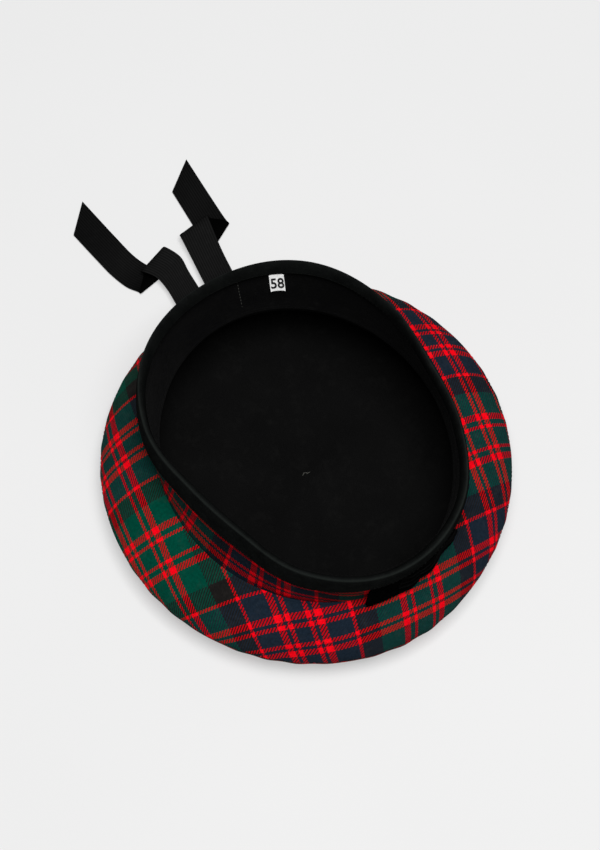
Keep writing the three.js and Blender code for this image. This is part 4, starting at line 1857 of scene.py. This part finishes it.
@dataclass
class RibbonTail:
    """A ribbon through its sections.

    A section is the left edge's x and y, the right edge's x and y, the height of the middle and
    how much painted shade darkens the ribbon there, in its fold pockets.
    """

    name: str
    node: str
    sections: Table
    width: float = 19.0
    thickness: float = 0.9
    rim: float = 0.55              # thickness left at the very edge, as a share
    selvedge: float = 1.12         # thickness beside it
    body: float = 0.92             # thickness between the selvedges
    columns: int = 15
    steps: int = 6

    def build(self, finish: Material) -> Piece:
        """Makes the ribbon with tight edges and declares its flat cut.

        Args:
            finish: Its material.

        Returns:
            The piece.
        """
        rows = smooth_path(self.sections, self.steps)
        left = rows[:, [0, 1, 4]]
        right = rows[:, [2, 3, 4]]
        share = np.linspace(0, 1, self.columns)[None, :, None]
        middle = left[:, None, :] * (1 - share) + right[:, None, :] * share
        normal = np.cross(np.gradient(middle, axis=1), np.gradient(middle, axis=0))
        normal /= np.maximum(np.linalg.norm(normal, axis=-1, keepdims=True), TINY)
        edge = 2 * np.abs(share - 0.5)
        shares = np.where(edge > 0.95, self.rim, np.where(edge > 0.8, self.selvedge, self.body))
        out = normal * self.thickness / 2 * shares
        run = run_length(middle.mean(axis=1))
        cloth = np.stack(np.broadcast_arrays(share[..., 0] * self.width, run[:, None]), axis=-1)
        piece = thin_piece(self.name, middle + out, middle - out, cloth)
        # Painted shade: how dark each section is painted in the fold pockets.
        fold_pocket_shade_amount = np.clip(rows[:, 5:6], 0, 1)
        mark_points(piece, "fold_pocket_shade", np.repeat(fold_pocket_shade_amount, self.columns, axis=1))
        dress(piece, finish, Slot.GROSGRAIN, self.node)
        LOG.info("%s: flat %.1f x %.1f mm", self.name, self.width, run[-1])
        return piece


TAIL_LEFT: Table = (
    (-15.6, 103, 3.4, 103.8, 62, 0),
    (-15.6, 101, 3.4, 101.8, 56, 0),
    (-15.6, 99.3, 3.4, 100.1, 50.5, 0),
    (-15.6, 98.8, 3.4, 99.6, 47, 0),
    (-15.6, 101.2, 3.4, 102, 45, 0),
    (-15.5, 106, 3.5, 106.8, 41.4, 0),
    (-15.3, 112, 3.4, 112.8, 37, 0),
    (-14.8, 118, 3.4, 118.8, 31, 0),
    (-14.3, 124, 3.6, 124.8, 21, 0),
    (-13.8, 128.6, 3.9, 129.6, 11.4, 0),
    (-12.8, 138, 4.9, 141.5, 6.2, 0),
    (-12.5, 149.8, 5.1, 154.2, 5.2, 0),
    (-14.4, 159.4, 5.3, 164.8, 6.3, 0),
    (-19.5, 166.7, 0.7, 174.7, 6.6, 0.1),
    (-20.3, 168.7, -0.1, 176.7, 4.4, 0.5),
    (-19.3, 168, 0.7, 175.8, 2.2, 0.9),
    (-26.7, 158.8, -6.5, 163.4, 1.7, 0.95),
    (-27.4, 157.2, -7.1, 161.8, 1.2, 0.95),
    (-27.9, 158.8, -8, 163.4, 0.8, 0.8),
    (-32.6, 165.4, -14.8, 173.4, 0.8, 0.4),
    (-36.8, 177, -18.6, 182.8, 0.8, 0.2),
    (-40, 192, -21.6, 196.8, 0.8, 0.35),
    (-44.2, 214, -28.2, 232.4, 0.8, 0.45),
)
TAIL_RIGHT: Table = (
    (4.8, 103.7, 23.4, 100.3, 62, 0),
    (4.8, 101.8, 23.4, 98.4, 56, 0),
    (4.8, 100.1, 23.4, 96.8, 50.5, 0),
    (4.8, 99.7, 23.4, 96.5, 47, 0),
    (4.9, 102, 23.5, 99.2, 45, 0),
    (5.2, 106.8, 23.9, 104.2, 41.4, 0),
    (5.8, 112.8, 24.4, 110.4, 37, 0),
    (6.4, 118.8, 25.1, 116.2, 31, 0),
    (7.0, 125, 25.9, 122.4, 21, 0),
    (7.7, 130, 26.7, 128, 11.4, 0),
    (9.4, 143.8, 28.5, 140.6, 6.0, 0),
    (10.9, 159.7, 30.2, 157.3, 5.1, 0),
    (12.0, 176.6, 33.6, 180.4, 6.4, 0.1),
    (12.4, 178.8, 34.4, 182.8, 4.4, 0.5),
    (13.4, 177.8, 35.4, 181.6, 2.2, 0.9),
    (23.1, 161.6, 43.4, 174.8, 1.7, 0.95),
    (23.5, 160.1, 44.2, 172.8, 1.2, 0.95),
    (23.5, 162, 43.8, 175.4, 0.8, 0.7),
    (23.8, 186, 43.3, 195, 0.8, 0.3),
    (24, 210.2, 43.1, 226.3, 0.8, 0.45),
)


@dataclass
class CockadePatch:
    """Ribbon laid on the outside of the band.

    A level is its height, its lift off the band, the height of its bows, and its two ends' angles.
    """

    name: str
    node: str
    levels: Table
    waves: float
    pleat: float = 0.0             # depth of the gathers that run round the band
    thickness: float = 1.0
    columns: int = 41
    gather_pitch: float = 5.2
    gather_drift: float = 0.8      # how many gathers the pattern climbs from end to end
    gather_top: float = 66.0       # the binding presses the gathers flat up here
    gather_fade: float = 5.0

    def build(self, finish: Material) -> Piece:
        """Makes the patch.

        Args:
            finish: Its material.

        Returns:
            The piece.
        """
        rows = smooth_path(self.levels)
        height, lift, bow, start, end = (rows[:, k:k + 1] for k in range(5))
        along = np.linspace(0, 1, self.columns)[None, :]
        degrees = start + along * (end - start)
        gather = (np.sin(TAU * (height / self.gather_pitch + self.gather_drift * along))
                  * np.clip((self.gather_top - height) / self.gather_fade, 0, 1))
        bows = 0.5 - 0.5 * np.cos(TAU * self.waves * along)
        radius = BAND.radius(degrees, height) + (lift + bow * bows + self.pleat * gather)
        cloth = np.stack(np.broadcast_arrays(height, np.radians(degrees) * radius), axis=-1)
        piece = thin_piece(self.name, around_axis(radius + self.thickness, degrees, height),
                           around_axis(radius, degrees, height), cloth)
        # Marks the top of each gather for a painted highlight.
        mark_points(piece, "highlight_ridge", np.clip(gather, 0, 1) ** 3 * min(1.0, self.pleat * 2))
        return dress(piece, finish, Slot.GROSGRAIN, self.node)


@dataclass
class Cockade:
    """Black ribbon cockade on the wearer's left of the band's front."""

    tail: Table = (
        (45.2, 4.0, 0, 259.6, 277),
        (46.8, 3.6, 0, 259.4, 277.5),
        (51, 2.2, 0, 260.0, 278),
        (56, 1.2, 0, 260.6, 278),
        (60, 0.7, 0, 261.2, 278),
        (64, 0.3, 0, 261.4, 278),
        (66.5, -0.2, 0, 261.6, 278),
    )
    loops: Table = (
        (45.6, 3.0, 2.0, 275.8, 298.6),
        (49, 2.2, 1.9, 275.6, 299),
        (54, 1.4, 1.5, 275.6, 298.4),
        (60, 0.8, 0.9, 276, 297),
        (64, 0.4, 0.4, 276.5, 296),
        (66.5, -0.1, 0.1, 277, 295),
    )
    knot: Table = (
        (45.8, 4.6, 0.4, 270.8, 278.4),
        (48.6, 4.0, 0.6, 270.4, 278.8),
        (54, 2.6, 0.7, 270.8, 278.8),
        (60, 1.7, 0.6, 271.2, 278.6),
        (65, 0.3, 0.2, 272, 278),
    )

    def build(self, ribbon: Material) -> None:
        """Builds the flat tail, the loops and the knot.

        Args:
            ribbon: Their finish.
        """
        for patch in (
            CockadePatch("cockade_tail_ribbon", "cockade_tail", self.tail, waves=0.0),
            CockadePatch("cockade_loops_ribbon", "cockade_loops", self.loops, 1.6, pleat=0.55),
            CockadePatch("cockade_knot_ribbon", "cockade_knot", self.knot, 1.0, 0.3, columns=15),
        ):
            patch.build(ribbon)


# ---- Studio -----------------------------------------------------------------------------


@dataclass
class Studio:
    """Pale floor, soft light and the camera, in metres."""

    eye: Place = (-0.24625, -0.41923, 1.22700)
    aim: Place = (0.00773, 0.02067, 0.03034)
    lens: float = 93.6
    sensor: float = 36.0
    floor_half: float = 6.0
    floor_height: float = -0.0004
    world_light: float = 0.10
    key_place: Place = (0.05, -0.3, 2.35)
    key_size: float = 1.4
    key_power: float = 64.0

    def hang(self, name: str, data: bpy.types.ID, place: Place, aim: Place) -> Piece:
        """Puts a lamp or a camera at its place and turns it to face a point.

        Args:
            name: Name of the object.
            data: The lamp or the camera.
            place: Where it hangs.
            aim: The point that it faces.

        Returns:
            The object.
        """
        holder = new_object(name, data)
        holder.location = place
        holder.rotation_mode = "QUATERNION"
        facing = Vector(aim) - Vector(place)
        holder.rotation_quaternion = facing.to_track_quat("-Z", "Y")
        return holder

    def camera(self) -> None:
        """Sets the camera."""
        data = bpy.data.cameras.new("studio_camera")
        data.lens = self.lens
        data.sensor_width = self.sensor
        data.clip_start = 0.01
        data.clip_end = 20.0
        bpy.context.scene.camera = self.hang("studio_camera", data, self.eye, self.aim)

    def floor(self) -> None:
        """Lays the pale floor."""
        mesh = bpy.data.meshes.new("studio_floor")
        half, height = self.floor_half, self.floor_height
        corners = [(-half, -half, height), (half, -half, height), (half, half, height),
                   (-half, half, height)]
        mesh.from_pydata(corners, [], [(0, 1, 2, 3)])
        floor = new_object("studio_floor", mesh)
        mesh.materials.append(StudioPaper().build())

    def softbox(self) -> None:
        """Hangs the square soft light above the bonnet."""
        data = bpy.data.lights.new("key_softbox", "AREA")
        data.shape = "SQUARE"
        data.size = self.key_size
        data.energy = self.key_power
        self.hang("key_softbox", data, self.key_place, (0.0, 0.0, 0.0))

    def build(self) -> None:
        """Sets up the world, the floor, the light and the camera."""
        world = bpy.data.worlds.new("studio_world")
        world.use_nodes = True
        backdrop = world.node_tree.nodes["Background"]
        backdrop.inputs["Color"].default_value = WHITE
        backdrop.inputs["Strength"].default_value = self.world_light
        bpy.context.scene.world = world
        bpy.context.scene.view_settings.view_transform = "Standard"
        self.floor()
        self.softbox()
        self.camera()


# ---- Bonnet -----------------------------------------------------------------------------


def main() -> None:
    """Builds the dressed bonnet."""
    logging.basicConfig(level=logging.INFO, format="%(name)s: %(message)s")
    Studio().build()
    stitching = Stitching()
    pale = SewingThread("pale_thread", linear(96, 96, 91)).build()
    dark = SewingThread("black_thread", linear(11, 11, 11), gloss=0.1).build()
    ribbon = Grosgrain().build()

    Crown().build(stitching, dark)
    band = Band()
    # Painted shade: the band's tartan is a darker copy, for the shade under the binding.
    band.headband(TartanCloth("tartan_band_wool_painted_shade", tone=0.55).build())
    band.binding(BlackFelt().build())
    band.sweatband(SmoothSweatband().build())
    band.sewing(stitching, pale, dark)
    lining = Lining()
    lining.bag(LiningCloth().build())
    lining.tack(stitching, pale)
    label = SizeLabel()
    label.tape(LabelTape().build())
    label.figures(LabelInk().build())
    # Painted shade: the cockade's ribbon is a darker copy of the tails' grosgrain.
    shade_darkened_grosgrain = Grosgrain("cockade_grosgrain_painted_shade", low=linear(2, 2, 2), high=linear(5, 5, 5),
                           wear_and_highlight=linear(24, 24, 24), gloss=0.0)
    Cockade().build(shade_darkened_grosgrain.build())
    RibbonTail("ribbon_tail_left_cloth", "ribbon_tail_left", TAIL_LEFT).build(ribbon)
    RibbonTail("ribbon_tail_right_cloth", "ribbon_tail_right", TAIL_RIGHT).build(ribbon)


if __name__ == "__main__":
    main()
